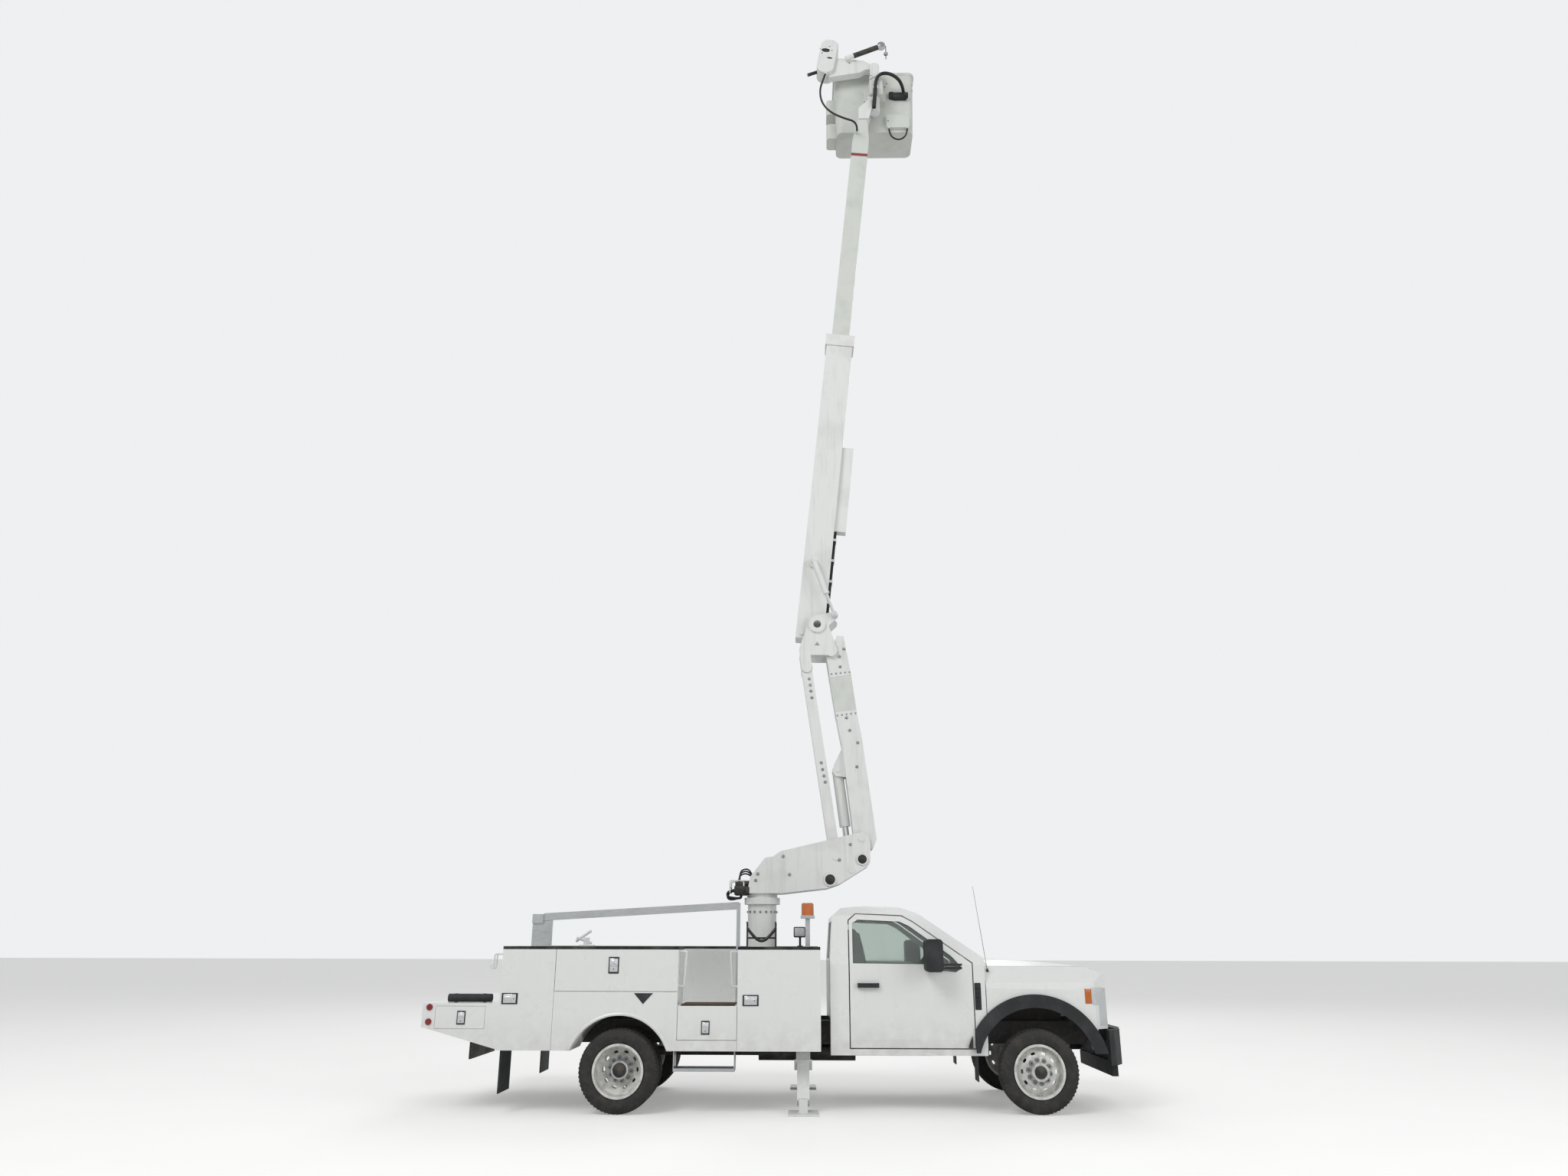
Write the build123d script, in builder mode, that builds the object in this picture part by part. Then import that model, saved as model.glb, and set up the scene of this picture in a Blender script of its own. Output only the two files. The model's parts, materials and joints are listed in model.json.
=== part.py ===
from build123d import *
from math import cos, pi, radians, sin
import os

os.makedirs("parts", exist_ok=True)

# Overall layout. Millimetres, X forward, Y to the truck's left, Z up, ground at Z 0.
wheelbase = 4293.0
front_overhang = 973.0
rear_overhang = 2050.0
rear_axle_x = (rear_overhang - wheelbase - front_overhang) / 2
body_half = 1200.0

# Tyres and wheels
tyre_r = 405.0
tyre_w = 226.0
bead_r = 250.0
rim_clearance = 0.5
front_track_half = 950.0
outer_dual_y = 1067.0
inner_dual_y = 813.0
spindle_r = 35.0
running = 0.4

# Chassis
rail_out = 430.0
rail_in = 355.0
rail_low = 620.0
rail_top = 850.0

# Service body
pack_in = 650.0
door_t = 20.0
sheet = 24.0
pack_low = 600.0
pack_top = 1580.0
tread_t = 30.0
shut = 6.0
body_rear = -1250.0
body_front = 2065.0
bay_1 = -690.0
bay_2 = 590.0
bay_3 = 1205.0
arch_r = 530.0
hinge_strip_z = 1165.0
access_z = 1030.0
deck_z = 1000.0
deck_t = 30.0
shelf_top = 1050.0
shelf_rear_low = 820.0

# Cab
cab_half = 1000.0
cab_wall = 55.0
cab_front = 3790.0
cab_gap = 12.0
sill_z = 547.0
glass_t = 6.0
glass_set = 22.0
hood_gap = 8.0

# Aerial device, in the side view measured from the rear axle
pedestal_x = 1413.0
pedestal_r = 165.0
pedestal_top = 2072.0
bearing_h = 72.0
plate_y = 195.0
plate_t = 16.0
riser_half = 155.0
riser_wall = 15.0
link_y = 160.0
link_t = 22.0
elbow_y = 187.0
elbow_t = 18.0
pin_r = 30.0
riser_foot = (2567.0, 2800.0)
riser_head = (2240.0, 5063.0)
boom_pivot = (2071.0, 5390.0)
link_head = (1940.0, 4850.0)
riser_cyl_head = (2304.0, 3613.0)
riser_cyl_foot = (2450.0, 2450.0)
boom_lean = 5.95
boom_half = 130.0
boom_depth = 347.0
boom_mid = -80.0
boom_heel = -170.0
boom_mouth = 4110.0
inner_depth = 235.0
inner_half = 92.0
inner_heel = 3450.0
inner_tip = 7800.0
shaft_x = 2985.0
bucket_x = 1220.0
bucket_y = 610.0
bucket_z = 1070.0
bucket_floor_z = 13080.0
bucket_off = 450.0
bucket_wall = 14.0


def at(x, y=0.0, z=0.0):
    """A point whose X is measured forward from the rear axle."""
    return (rear_axle_x + x, y, z)


def side(y=0.0, x=0.0, z=0.0):
    """Upright plane seen from the truck's right: across is forward, up is up, pulls to -Y."""
    return Plane(origin=at(x, y, z), x_dir=(1, 0, 0), z_dir=(0, -1, 0))


def front(x=0.0):
    """Upright plane across the truck: across is to the left, pulls forward."""
    return Plane(origin=at(x), x_dir=(0, 1, 0), z_dir=(1, 0, 0))


def level(z=0.0):
    """Level plane: across is forward, up is to the left, pulls up."""
    return Plane(origin=at(0, 0, z), x_dir=(1, 0, 0), z_dir=(0, 0, 1))


def boom_side(y=0.0):
    """Side plane that leans with the upper boom, its origin on the boom's pivot."""
    lean = radians(boom_lean)
    return Plane(
        origin=at(boom_pivot[0], y, boom_pivot[1]),
        x_dir=(cos(lean), 0, -sin(lean)),
        z_dir=(0, -1, 0),
    )


def slab(points, y_from, y_to, plane=side):
    """Outline in the side view, pulled from one Y to the other."""
    with BuildPart() as piece:
        with BuildSketch(plane(y_to)):
            with BuildLine():
                Polyline(*points, close=True)
            make_face()
        extrude(amount=y_to - y_from)
    return piece.part


def block(x, y, z):
    """Box between pairs of limits, X measured from the rear axle."""
    centre = at((x[0] + x[1]) / 2, (y[0] + y[1]) / 2, (z[0] + z[1]) / 2)
    with BuildPart() as piece:
        with Locations(centre):
            Box(x[1] - x[0], y[1] - y[0], z[1] - z[0])
    return piece.part


def rod(centre, radius, y_from, y_to):
    """Round bar across the truck."""
    with BuildPart() as piece:
        with BuildSketch(side(y_to)):
            with Locations(centre):
                Circle(radius)
        extrude(amount=y_to - y_from)
    return piece.part


def strut(a, b, radius, y, a_set=0.0, b_set=0.0):
    """Round bar between two points of the side view, its ends set back along it."""
    start = Vector(*at(a[0], y, a[1]))
    end = Vector(*at(b[0], y, b[1]))
    along = (end - start).normalized()
    with BuildPart() as piece:
        with BuildSketch(Plane(origin=start + along * a_set, z_dir=along)):
            Circle(radius)
        extrude(amount=(end - start).length - a_set - b_set)
    return piece.part


def save(piece, label):
    """Name a finished piece and write it out."""
    piece.part.label = label
    export_step(piece.part, f"parts/{label}.step")


def save_pair(piece, stem):
    """Write the right hand piece and its mirror image on the left."""
    save(piece, f"{stem}_right")
    with BuildPart() as twin:
        mirror(piece.part, about=Plane.XZ)
    save(twin, f"{stem}_left")


# Tyres: a rounded section turned about the axle
def tyre_ring(x, y):
    half = tyre_w / 2
    hub = Plane(origin=at(x, y, tyre_r), x_dir=(1, 0, 0), z_dir=(0, 0, 1))
    section = [
        (bead_r, -half + 21),
        (bead_r + 25, -half + 13),
        (bead_r + 75, -half),
        (tyre_r - 40, -half),
        (tyre_r - 8, -half + 16),
        (tyre_r, -half + 40),
        (tyre_r, half - 40),
        (tyre_r - 8, half - 16),
        (tyre_r - 40, half),
        (bead_r + 75, half),
        (bead_r + 25, half - 13),
        (bead_r, half - 21),
    ]
    with BuildPart() as ring:
        with BuildSketch(hub):
            with BuildLine():
                Polyline(*section, close=True)
            make_face()
        revolve(axis=Axis(hub.origin, (0, 1, 0)))
    return ring.part


with BuildPart() as tyre_front:
    add(tyre_ring(wheelbase, -front_track_half))
save_pair(tyre_front, "tyre_front")

with BuildPart() as tyres_rear:
    for dual_y in (outer_dual_y, inner_dual_y):
        add(tyre_ring(0, -dual_y))
save_pair(tyres_rear, "tyres_rear")

# Rims: barrel, flanges and dished disc in one turned section, with hand holes and a hub
rim_half = 106.0
barrel_t = 12.0
disc_t = 14.0
hub_r = 88.0
hole_ring_r = 175.0
hole_count = 10


def rim_turning(x, barrel_y, disc_y, hub_from, hub_to):
    """Barrel at barrel_y, its disc dished across to disc_y, hub between two Y stations."""
    hub = Plane(origin=at(x, 0, tyre_r), x_dir=(1, 0, 0), z_dir=(0, 0, 1))
    out_r = bead_r - rim_clearance
    in_r = out_r - barrel_t
    lean = 1 if disc_y > barrel_y else -1
    dish = [
        (in_r + 2, disc_y - lean * 62),
        (in_r - 20, disc_y - lean * 50),
        (150, disc_y),
        (spindle_r + running, disc_y),
        (spindle_r + running, disc_y + lean * disc_t),
        (156, disc_y + lean * disc_t),
        (in_r - 4, disc_y - lean * 34),
        (in_r + 2, disc_y - lean * 36),
    ]
    with BuildPart() as rim:
        with BuildSketch(hub):
            with Locations((in_r + barrel_t / 2, barrel_y)):
                Rectangle(barrel_t, 2 * rim_half)
            for end in (-1, 1):
                with Locations((in_r + barrel_t, barrel_y + end * (rim_half - 4))):
                    Rectangle(2 * barrel_t, 8)
            with BuildLine():
                Polyline(*dish, close=True)
            make_face()
            with Locations(((spindle_r + running + hub_r) / 2, (hub_from + hub_to) / 2)):
                Rectangle(hub_r - spindle_r - running, abs(hub_to - hub_from))
        revolve(axis=Axis(hub.origin, (0, 1, 0)))
        with BuildSketch(Plane(origin=at(x, disc_y + 130, tyre_r), x_dir=(1, 0, 0), z_dir=(0, -1, 0))):
            with PolarLocations(hole_ring_r, hole_count):
                SlotOverall(46, 24, rotation=90)
        extrude(amount=260, mode=Mode.SUBTRACT)
    return rim.part


front_disc_y = -front_track_half - 62
front_hub_in = -front_track_half + 60
front_hub_out = -front_track_half - 150
with BuildPart() as wheel_front:
    add(rim_turning(wheelbase, -front_track_half, front_disc_y, front_hub_in, front_hub_out))
save_pair(wheel_front, "wheel_front")

dual_mid_y = (outer_dual_y + inner_dual_y) / 2
rear_hub_in = -dual_mid_y + 70
rear_hub_out = -dual_mid_y - 105
with BuildPart() as wheels_rear:
    add(rim_turning(0, -outer_dual_y, -dual_mid_y - disc_t, rear_hub_in, rear_hub_out))
    add(rim_turning(0, -inner_dual_y, -dual_mid_y, rear_hub_in, rear_hub_out))
save_pair(wheels_rear, "wheels_rear")

# Rear axle: banjo housing, tubes and spindles
axle_tube_r = 62.0
with BuildPart() as axles:
    add(rod((0, tyre_r), axle_tube_r, rear_hub_in + running + 4, -rear_hub_in - running - 4))
    add(rod((0, tyre_r), spindle_r, rear_hub_out + 20, -rear_hub_out - 20))
    with Locations(at(0, 0, tyre_r)):
        Sphere(165)
    for rail_side in (-1, 1):
        add(block((-60, 60), (rail_side * rail_out - 40, rail_side * rail_out + 40), (tyre_r + 40, rail_low)))

# Front axle beam ends in forked yokes that hold the kingpins
kingpin_y = 790.0
kingpin_r = 22.0
yoke_h = 60.0
with BuildPart() as front_beam:
    add(block((wheelbase - 45, wheelbase + 45), (-kingpin_y + 60, kingpin_y - 60), (tyre_r - 75, tyre_r + 15)))
    for beam_side in (-1, 1):
        yoke_y = beam_side * kingpin_y
        with Locations(at(wheelbase, beam_side * (kingpin_y - 30), tyre_r - 30)):
            Box(90, 90, yoke_h)
        with Locations(at(wheelbase, yoke_y, tyre_r - 30)):
            Cylinder(45, yoke_h)
            Cylinder(kingpin_r + running, yoke_h, mode=Mode.SUBTRACT)
        add(block((wheelbase - 60, wheelbase + 60), (beam_side * 390 - 40, beam_side * 390 + 40), (tyre_r + 15, rail_low)))
with BuildPart() as axle_pair:
    add(axles.part)
    add(front_beam.part)
save(axle_pair, "axles")

# Steering knuckle: forked round the beam's yoke, with kingpin, spindle and steering arm
with BuildPart() as knuckle:
    with Locations(at(wheelbase, -kingpin_y, tyre_r - 30)):
        Cylinder(kingpin_r, yoke_h + 80)
    for ear in (-1, 1):
        with Locations(at(wheelbase, -kingpin_y, tyre_r - 30 + ear * (yoke_h / 2 + 20 + 1))):
            Cylinder(45, 40)
        with Locations(at(wheelbase, -kingpin_y - 45, tyre_r - 30 + ear * (yoke_h / 2 + 20 + 1))):
            Box(90, 90, 40)
    add(block((wheelbase - 45, wheelbase + 45), (front_hub_in + 8, front_hub_in + 48), (tyre_r - 100, tyre_r + 42)))
    add(rod((wheelbase, tyre_r), spindle_r, front_hub_out + 20, front_hub_in + 20))
save_pair(knuckle, "knuckle")

# Chassis frame: two rails, crossmembers and the rear hitch plate
frame_rear = -1700.0
frame_front = wheelbase + 640
hitch_z = 530.0
hitch_pitch_y = 180.0
hitch_pitch_z = 90.0
hitch_hole_r = 9.0
exhaust_y = 300.0
exhaust_z = 530.0
crossmembers = [-1500, -700, 700, 1650, 2700, 3500, 4880]
with BuildPart() as chassis_frame:
    for rail_side in (-1, 1):
        add(block((frame_rear, frame_front), sorted((rail_side * rail_in, rail_side * rail_out)), (rail_low, rail_top)))
    for cross_x in crossmembers:
        add(block((cross_x - 40, cross_x + 40), (-rail_in, rail_in), (rail_low + 40, rail_top - 40)))
    add(block((frame_rear - 20, frame_rear), (-rail_out - 60, rail_out + 60), (rail_low - 170, rail_top)))
    # Four holes for a bolted tow eye
    with BuildSketch(front(frame_rear - 21)):
        with Locations((0, hitch_z)):
            with GridLocations(hitch_pitch_y, hitch_pitch_z, 2, 2):
                Circle(hitch_hole_r)
    extrude(amount=22, mode=Mode.SUBTRACT)
    # Exhaust and silencer under the right rail, fuel tank under the left
    for ends, radius in (((1450, -250), 45), ((2450, 1400), 95), ((3300, 2400), 45)):
        add(strut((ends[0], exhaust_z), (ends[1], exhaust_z), radius, -exhaust_y))
    for hanger_x in (1500, 2300):
        add(block((hanger_x, hanger_x + 20), (-375, -355), (exhaust_z, rail_low)))
    with BuildSketch(front(2350)):
        with Locations((560, 590)):
            RectangleRounded(240, 330, 60)
    extrude(amount=900)
    for strap_x in (2500, 3050):
        add(block((strap_x, strap_x + 40), (rail_out, 470), (rail_low + 40, rail_low + 120)))
save(chassis_frame, "chassis_frame")

# Engine as one plain block between the rails, carried on two feet
with BuildPart() as engine_block:
    add(block((wheelbase - 480, wheelbase + 420), (-290, 290), (rail_low + 20, 1180)))
    for foot in (-1, 1):
        add(block((wheelbase - 380, wheelbase - 300), sorted((foot * 290, foot * rail_in)), (rail_low + 60, rail_low + 140)))
save(engine_block, "engine_block")

# Outriggers: a slanted sleeve on the frame and a leg that slides out of it to its foot
leg_w = 126.0
sleeve_wall = 10.0
leg_gap = 1.0
outrigger_x = 1883.0
foot_y = 1080.0
foot_w = 306.0
foot_t = 25.0
leg_top_y = 520.0
leg_top_z = 830.0
sleeve_low = 430.0
leg_travel_z = 150.0
leg_slope = (foot_y - leg_top_y) / leg_top_z


def leg_plane(z):
    """Plane square to the right hand leg where the leg's middle is at height z."""
    reach = foot_y - leg_slope * z
    return Plane(origin=at(outrigger_x, -reach, z), x_dir=(1, 0, 0), z_dir=(0, leg_slope, 1))


def leg_run(z_from, z_to):
    """Length along the slanted leg between two heights."""
    return (z_to - z_from) * (1 + leg_slope**2) ** 0.5


with BuildPart() as subframe:
    with BuildSketch(leg_plane(sleeve_low)):
        Rectangle(leg_w + 2 * (leg_gap + sleeve_wall), leg_w + 2 * (leg_gap + sleeve_wall))
        Rectangle(leg_w + 2 * leg_gap, leg_w + 2 * leg_gap, mode=Mode.SUBTRACT)
    extrude(amount=leg_run(sleeve_low, leg_top_z))
    with BuildSketch(leg_plane(sleeve_low)):
        Rectangle(leg_w + 60, leg_w + 60)
        Rectangle(leg_w + 2 * leg_gap, leg_w + 2 * leg_gap, mode=Mode.SUBTRACT)
    extrude(amount=16)
    mirror(about=Plane.XZ)
    for rail_side in (-1, 1):
        add(block((outrigger_x - 60, outrigger_x + 60), sorted((rail_side * rail_out, rail_side * 492)), (700, 800)))
    add(block((outrigger_x - 60, outrigger_x + 60), (-rail_in, rail_in), (660, 780)))
    with BuildSketch(leg_plane(sleeve_low - 10)):
        Rectangle(leg_w + 2 * leg_gap, leg_w + 2 * leg_gap)
    extrude(amount=leg_run(sleeve_low - 10, leg_top_z + 50), mode=Mode.SUBTRACT)
    with BuildSketch(leg_plane(sleeve_low - 10)):
        Rectangle(leg_w + 2 * leg_gap, leg_w + 2 * leg_gap)
    left_bore = extrude(amount=leg_run(sleeve_low - 10, leg_top_z + 50), mode=Mode.PRIVATE)
    mirror(left_bore, about=Plane.XZ, mode=Mode.SUBTRACT)

with BuildPart() as outrigger_leg:
    with BuildSketch(leg_plane(100)):
        Rectangle(leg_w, leg_w)
    extrude(amount=leg_run(100, leg_top_z - leg_travel_z))
    add(block((outrigger_x - 45, outrigger_x + 45), (-foot_y - 45, -foot_y + 45), (foot_t - 1, 150)))
    add(block(
        (outrigger_x - foot_w / 2, outrigger_x + foot_w / 2),
        (-foot_y - foot_w / 2, -foot_y + foot_w / 2),
        (0, foot_t),
    ))
save_pair(outrigger_leg, "outrigger_leg")

# Side packs: each wall stands as thick as the sheet box that the real one is folded from
door_face = body_half - door_t
pack_outline = [
    (body_rear, pack_low),
    (body_rear, pack_top),
    (bay_2, pack_top),
    (bay_2, access_z),
    (bay_3, access_z),
    (bay_3, pack_top),
    (body_front, pack_top),
    (body_front, pack_low),
]
bays = [
    # rear, front, low, top of each door opening
    (body_rear, bay_1, pack_low, pack_top),
    (bay_1, bay_2, hinge_strip_z, pack_top),
    (bay_2, bay_3, 700, access_z),
    (bay_3, body_front, pack_low, pack_top),
]
plain_outline = [
    (body_rear, pack_low),
    (body_rear, pack_top),
    (body_front, pack_top),
    (body_front, pack_low),
]
plain_bays = [
    (body_rear, bay_1, pack_low, pack_top),
    (bay_1, bay_3, hinge_strip_z, pack_top),
    (bay_3, body_front, pack_low, pack_top),
]


def side_pack(outline, doorways, panel_front):
    """Right hand pack with its lockers, fixed lower panel and wheel arch."""
    with BuildPart() as pack:
        add(slab(outline, -door_face, -pack_in))
        add(slab(
            [(bay_1, pack_low), (bay_1, hinge_strip_z), (panel_front, hinge_strip_z), (panel_front, pack_low)],
            -body_half, -door_face,
        ))
        add(block((bay_2, bay_3), (-body_half, -door_face), (pack_low, 700)))
        for rear, fore, low, top in doorways:
            add(block(
                (rear + sheet, fore - sheet), (-body_half, -pack_in - sheet), (low + sheet, top - sheet),
            ), mode=Mode.SUBTRACT)
        add(rod((0, tyre_r), arch_r, -body_half - 1, -pack_in + 1), mode=Mode.SUBTRACT)
        with BuildSketch(side(-body_half)):
            with Locations((0, tyre_r)):
                Circle(arch_r + 45)
                Circle(arch_r, mode=Mode.SUBTRACT)
            with Locations((0, pack_low - 500)):
                Rectangle(2000, 1000, mode=Mode.SUBTRACT)
        extrude(amount=12)
        # Corner bay that the outrigger sleeve passes through
        with BuildSketch(leg_plane(pack_low - 150)):
            Rectangle(leg_w + 60, leg_w + 70)
        extrude(amount=leg_run(pack_low - 150, leg_top_z + 60), mode=Mode.SUBTRACT)
    return pack.part


with BuildPart() as pack_right:
    add(side_pack(pack_outline, bays, bay_2))
save(pack_right, "side_pack_right")

with BuildPart() as pack_left:
    mirror(side_pack(plain_outline, plain_bays, bay_3), about=Plane.XZ)
save(pack_left, "side_pack_left")


def locker_door(rear, fore, low, top):
    """Flush door laid over its locker, with the shut line taken off its edges."""
    return block((rear, fore), (-body_half, -door_face - running), (low, top))


# Compartment doors, right hand side as seen, left hand side plainer
with BuildPart() as door_rear:
    add(locker_door(body_rear, bay_1 - shut / 2, pack_low, pack_top))
save_pair(door_rear, "locker_door_rear")

with BuildPart() as door_front:
    add(locker_door(bay_3 + shut / 2, body_front, pack_low, pack_top))
save_pair(door_front, "locker_door_front")

with BuildPart() as door_long_right:
    add(locker_door(bay_1 + shut / 2, bay_2, hinge_strip_z + shut, pack_top))
save(door_long_right, "locker_door_long_right")

with BuildPart() as door_long_left:
    mirror(locker_door(bay_1 + shut / 2, bay_3 - shut / 2, hinge_strip_z + shut, pack_top), about=Plane.XZ)
save(door_long_left, "locker_door_long_left")

with BuildPart() as door_small:
    add(locker_door(bay_2 + shut, bay_3 - shut / 2, 700 + shut, access_z))
save(door_small, "locker_door_small")

# Black treads on top of the packs
with BuildPart() as pack_treads:
    for rear, fore in ((body_rear, bay_2), (bay_3, body_front)):
        add(block((rear, fore), (-body_half, -pack_in), (pack_top, pack_top + tread_t)))
    add(block((body_rear, body_front), (pack_in, body_half), (pack_top, pack_top + tread_t)))
save(pack_treads, "pack_treads")

# Deck between the packs, with its cross sills on the frame rails
with BuildPart() as deck:
    add(block((body_rear, body_front), (-pack_in, pack_in), (deck_z - deck_t, deck_z)))
    for sill_x in (-1150, -500, 600, 1200, 2000):
        add(block((sill_x - 40, sill_x + 40), (-pack_in, pack_in), (rail_top, deck_z - deck_t)))

# Tail shelf: a box with two lockers, its lower edge rising to the rear
shelf_door = (-1900.0, -1390.0, 805.0, 1020.0)
lamp_t = 10.0
shelf_rear = -rear_overhang + lamp_t
shelf_outline = [
    (shelf_rear, shelf_rear_low),
    (shelf_rear, shelf_top),
    (body_rear, shelf_top),
    (body_rear, pack_low + 10),
]
with BuildPart() as shelf:
    add(slab(shelf_outline, -body_half, body_half))
    inner = [
        (shelf_rear + sheet, shelf_rear_low + 5),
        (shelf_rear + sheet, shelf_top - sheet),
        (body_rear - sheet, shelf_top - sheet),
        (body_rear - sheet, pack_low + 60),
    ]
    add(slab(inner, -pack_in + sheet, pack_in - sheet), mode=Mode.SUBTRACT)
    add(block((-1745, body_rear + 1), (-pack_in + sheet, pack_in - sheet), (500, 900)), mode=Mode.SUBTRACT)
    add(block(
        (shelf_door[0] + sheet, shelf_door[1] - sheet),
        (-body_half - 1, -pack_in - sheet),
        (shelf_door[2] + sheet, shelf_door[3] - sheet),
    ), mode=Mode.SUBTRACT)
    add(block(
        (shelf_door[0] - shut / 2, shelf_door[1] + shut / 2),
        (-body_half - 1, -door_face),
        (shelf_door[2] - shut / 2, shelf_door[3] + shut / 2),
    ), mode=Mode.SUBTRACT)

with BuildPart() as deck_and_shelf:
    add(deck.part)
    add(shelf.part)
save(deck_and_shelf, "deck")

with BuildPart() as door_shelf:
    add(block(shelf_door[0:2], (-body_half, -door_face - running), shelf_door[2:4]))
save(door_shelf, "locker_door_shelf")

# Steps under the access openings, hung on the packs
with BuildPart() as steps:
    add(block((bay_2 - 30, bay_3 - 20), (-1170, -930), (405, 435)))
    for hanger_x in (bay_2 - 30, bay_3 - 26):
        add(block((hanger_x, hanger_x + 6), (-1170, -930), (435, pack_low)))

# Mud flaps behind the rear and the front wheels
with BuildPart() as flaps:
    add(block((-1215, -1203), (-1160, -720), (190, pack_low)))
    add(block((wheelbase - 620, wheelbase - 610), (-985, -760), (300, sill_z)))
    mirror(about=Plane.XZ)

# Lamps at the tail
with BuildPart() as tail_lights:
    for lamp_z in (870.0, 1010.0):
        with Locations(Plane(origin=at(-1965, -body_half, lamp_z), z_dir=(0, -1, 0))):
            Cylinder(32, lamp_t, align=(Align.CENTER, Align.CENTER, Align.MIN))
    for lamp_z in (920.0, 990.0):
        with Locations(Plane(origin=at(shelf_rear, -1000, lamp_z), z_dir=(-1, 0, 0))):
            Cylinder(30, lamp_t, align=(Align.CENTER, Align.CENTER, Align.MIN))
    mirror(about=Plane.XZ)

# Boom rest: a sloping beam on two posts that stand on the deck
rest_rear = (-1110.0, 1890.0)
rest_front = (1140.0, 2020.0)
beam_h = 80.0
with BuildPart() as rest:
    beam = [rest_rear, (rest_rear[0], rest_rear[1] + beam_h), (rest_front[0], rest_front[1] + beam_h), rest_front]
    add(slab(beam, -40, 40))
    add(block((-1237, -1015), (-30, 30), (deck_z, 1900)))
    add(block((1120, 1160), (-40, 40), (deck_z, 2090)))
    add(block((-1237, -1110), (-60, 60), (1860, 1960)))

# Beacon on its post beside the cab, with a guard round the lens
beacon_x = 1935.0
beacon_y = -900.0
with BuildPart() as post:
    with Locations(at(beacon_x, beacon_y, 0)):
        with Locations((0, 0, (pack_top + tread_t + 1900) / 2)):
            Box(50, 50, 1900 - pack_top - tread_t)
        with Locations((0, 0, 1915)):
            Box(150, 150, 30)

with BuildPart() as body_fittings:
    add(steps.part)
    add(rest.part)
    add(post.part)
save(body_fittings, "body_fittings")

with BuildPart() as beacon_lens:
    with Locations(at(beacon_x, beacon_y, 1930)):
        Cylinder(66, 130, align=(Align.CENTER, Align.CENTER, Align.MIN))
    fillet(beacon_lens.edges().group_by(Axis.Z)[-1], 18)

# Pedestal with its lower bearing flange
bearing_split = pedestal_top + bearing_h / 2
with BuildPart() as column:
    with Locations(at(pedestal_x, 0, deck_z)):
        Cylinder(pedestal_r, pedestal_top - deck_z, align=(Align.CENTER, Align.CENTER, Align.MIN))
    with Locations(at(pedestal_x, 0, pedestal_top)):
        Cylinder(pedestal_r + 40, bearing_h / 2, align=(Align.CENTER, Align.CENTER, Align.MIN))
    with Locations(at(pedestal_x, 0, deck_z)):
        Cylinder(pedestal_r + 70, 20, align=(Align.CENTER, Align.CENTER, Align.MIN))

with BuildPart() as pedestal:
    add(subframe.part)
    add(column.part)
save(pedestal, "pedestal")

# Cab: the body of the cab is the meeting of a side outline and a cross section
cab_outline = [
    (2170, sill_z),
    (2170, 1500),
    (2200, 1930),
    (2290, 2010),
    (2560, 2040),
    (2900, 2030),
    (3110, 1960),
    (cab_front, 1500),
    (cab_front, sill_z),
]
cab_section = [
    (cab_half - 20, sill_z),
    (cab_half, 700),
    (cab_half - 10, 1437),
    (cab_half - 120, 1930),
    (cab_half - 260, 2020),
    (cab_half - 500, 2045),
]


def cab_solid(inset):
    """The cab's whole form, drawn in on all sides by an inset."""
    section = cab_section + [(-y, z) for y, z in reversed(cab_section)]
    with BuildPart() as solid:
        with BuildSketch(side()):
            with BuildLine():
                Polyline(*cab_outline, close=True)
            make_face()
            offset(amount=-inset, kind=Kind.INTERSECTION)
        extrude(amount=1500, both=True)
        with BuildSketch(front(2000)):
            with BuildLine():
                Polyline(*section, close=True)
            make_face()
            offset(amount=-inset, kind=Kind.INTERSECTION)
        extrude(amount=2000, mode=Mode.INTERSECT)
    return solid.part


cab_outer = cab_solid(0)
cab_inner = cab_solid(cab_wall)
glass_outer = cab_solid(glass_set)
glass_inner = cab_solid(glass_set + glass_t)

# Door outline and window outline in the side view
door_rear_x = 2376.0
door_front_x = 3660.0
door_low_z = 620.0
door_outline = [
    (door_rear_x, door_low_z),
    (door_rear_x, 1880),
    (2450, 1945),
    (2940, 1925),
    (3060, 1862),
    (door_front_x, 1448),
    (door_front_x, door_low_z),
]
window_outline = [
    (2410, 1445),
    (2410, 1850),
    (2470, 1890),
    (2920, 1870),
    (3020, 1825),
    (3450, 1520),
    (3560, 1400),
    (3490, 1360),
    (3330, 1375),
    (3180, 1437),
]


def outline_tool(points, grow, y_from=-1500.0, y_to=-800.0):
    """Cutter pulled across one side of the cab from an outline in the side view."""
    with BuildPart() as tool:
        with BuildSketch(side(y_to)):
            with BuildLine():
                Polyline(*points, close=True)
            make_face()
            if grow:
                offset(amount=grow, kind=Kind.INTERSECTION)
        extrude(amount=y_to - y_from)
    return tool.part


screen_outline = [(-760, 1480), (-640, 1975), (640, 1975), (760, 1480)]
rear_light = [(-620, 1480), (-560, 1880), (560, 1880), (620, 1480)]


def across_tool(points, x_from, x_to):
    """Cutter pulled forward from an outline seen from the front."""
    with BuildPart() as tool:
        with BuildSketch(front(x_from)):
            with BuildLine():
                Polyline(*points, close=True)
            make_face()
        extrude(amount=x_to - x_from)
    return tool.part


floor_z = 925.0
tunnel_half = 700.0
cab_floor_in = 900.0
right_opening = outline_tool(door_outline, cab_gap)
with BuildPart() as left_opening:
    mirror(right_opening, about=Plane.XZ)

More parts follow.
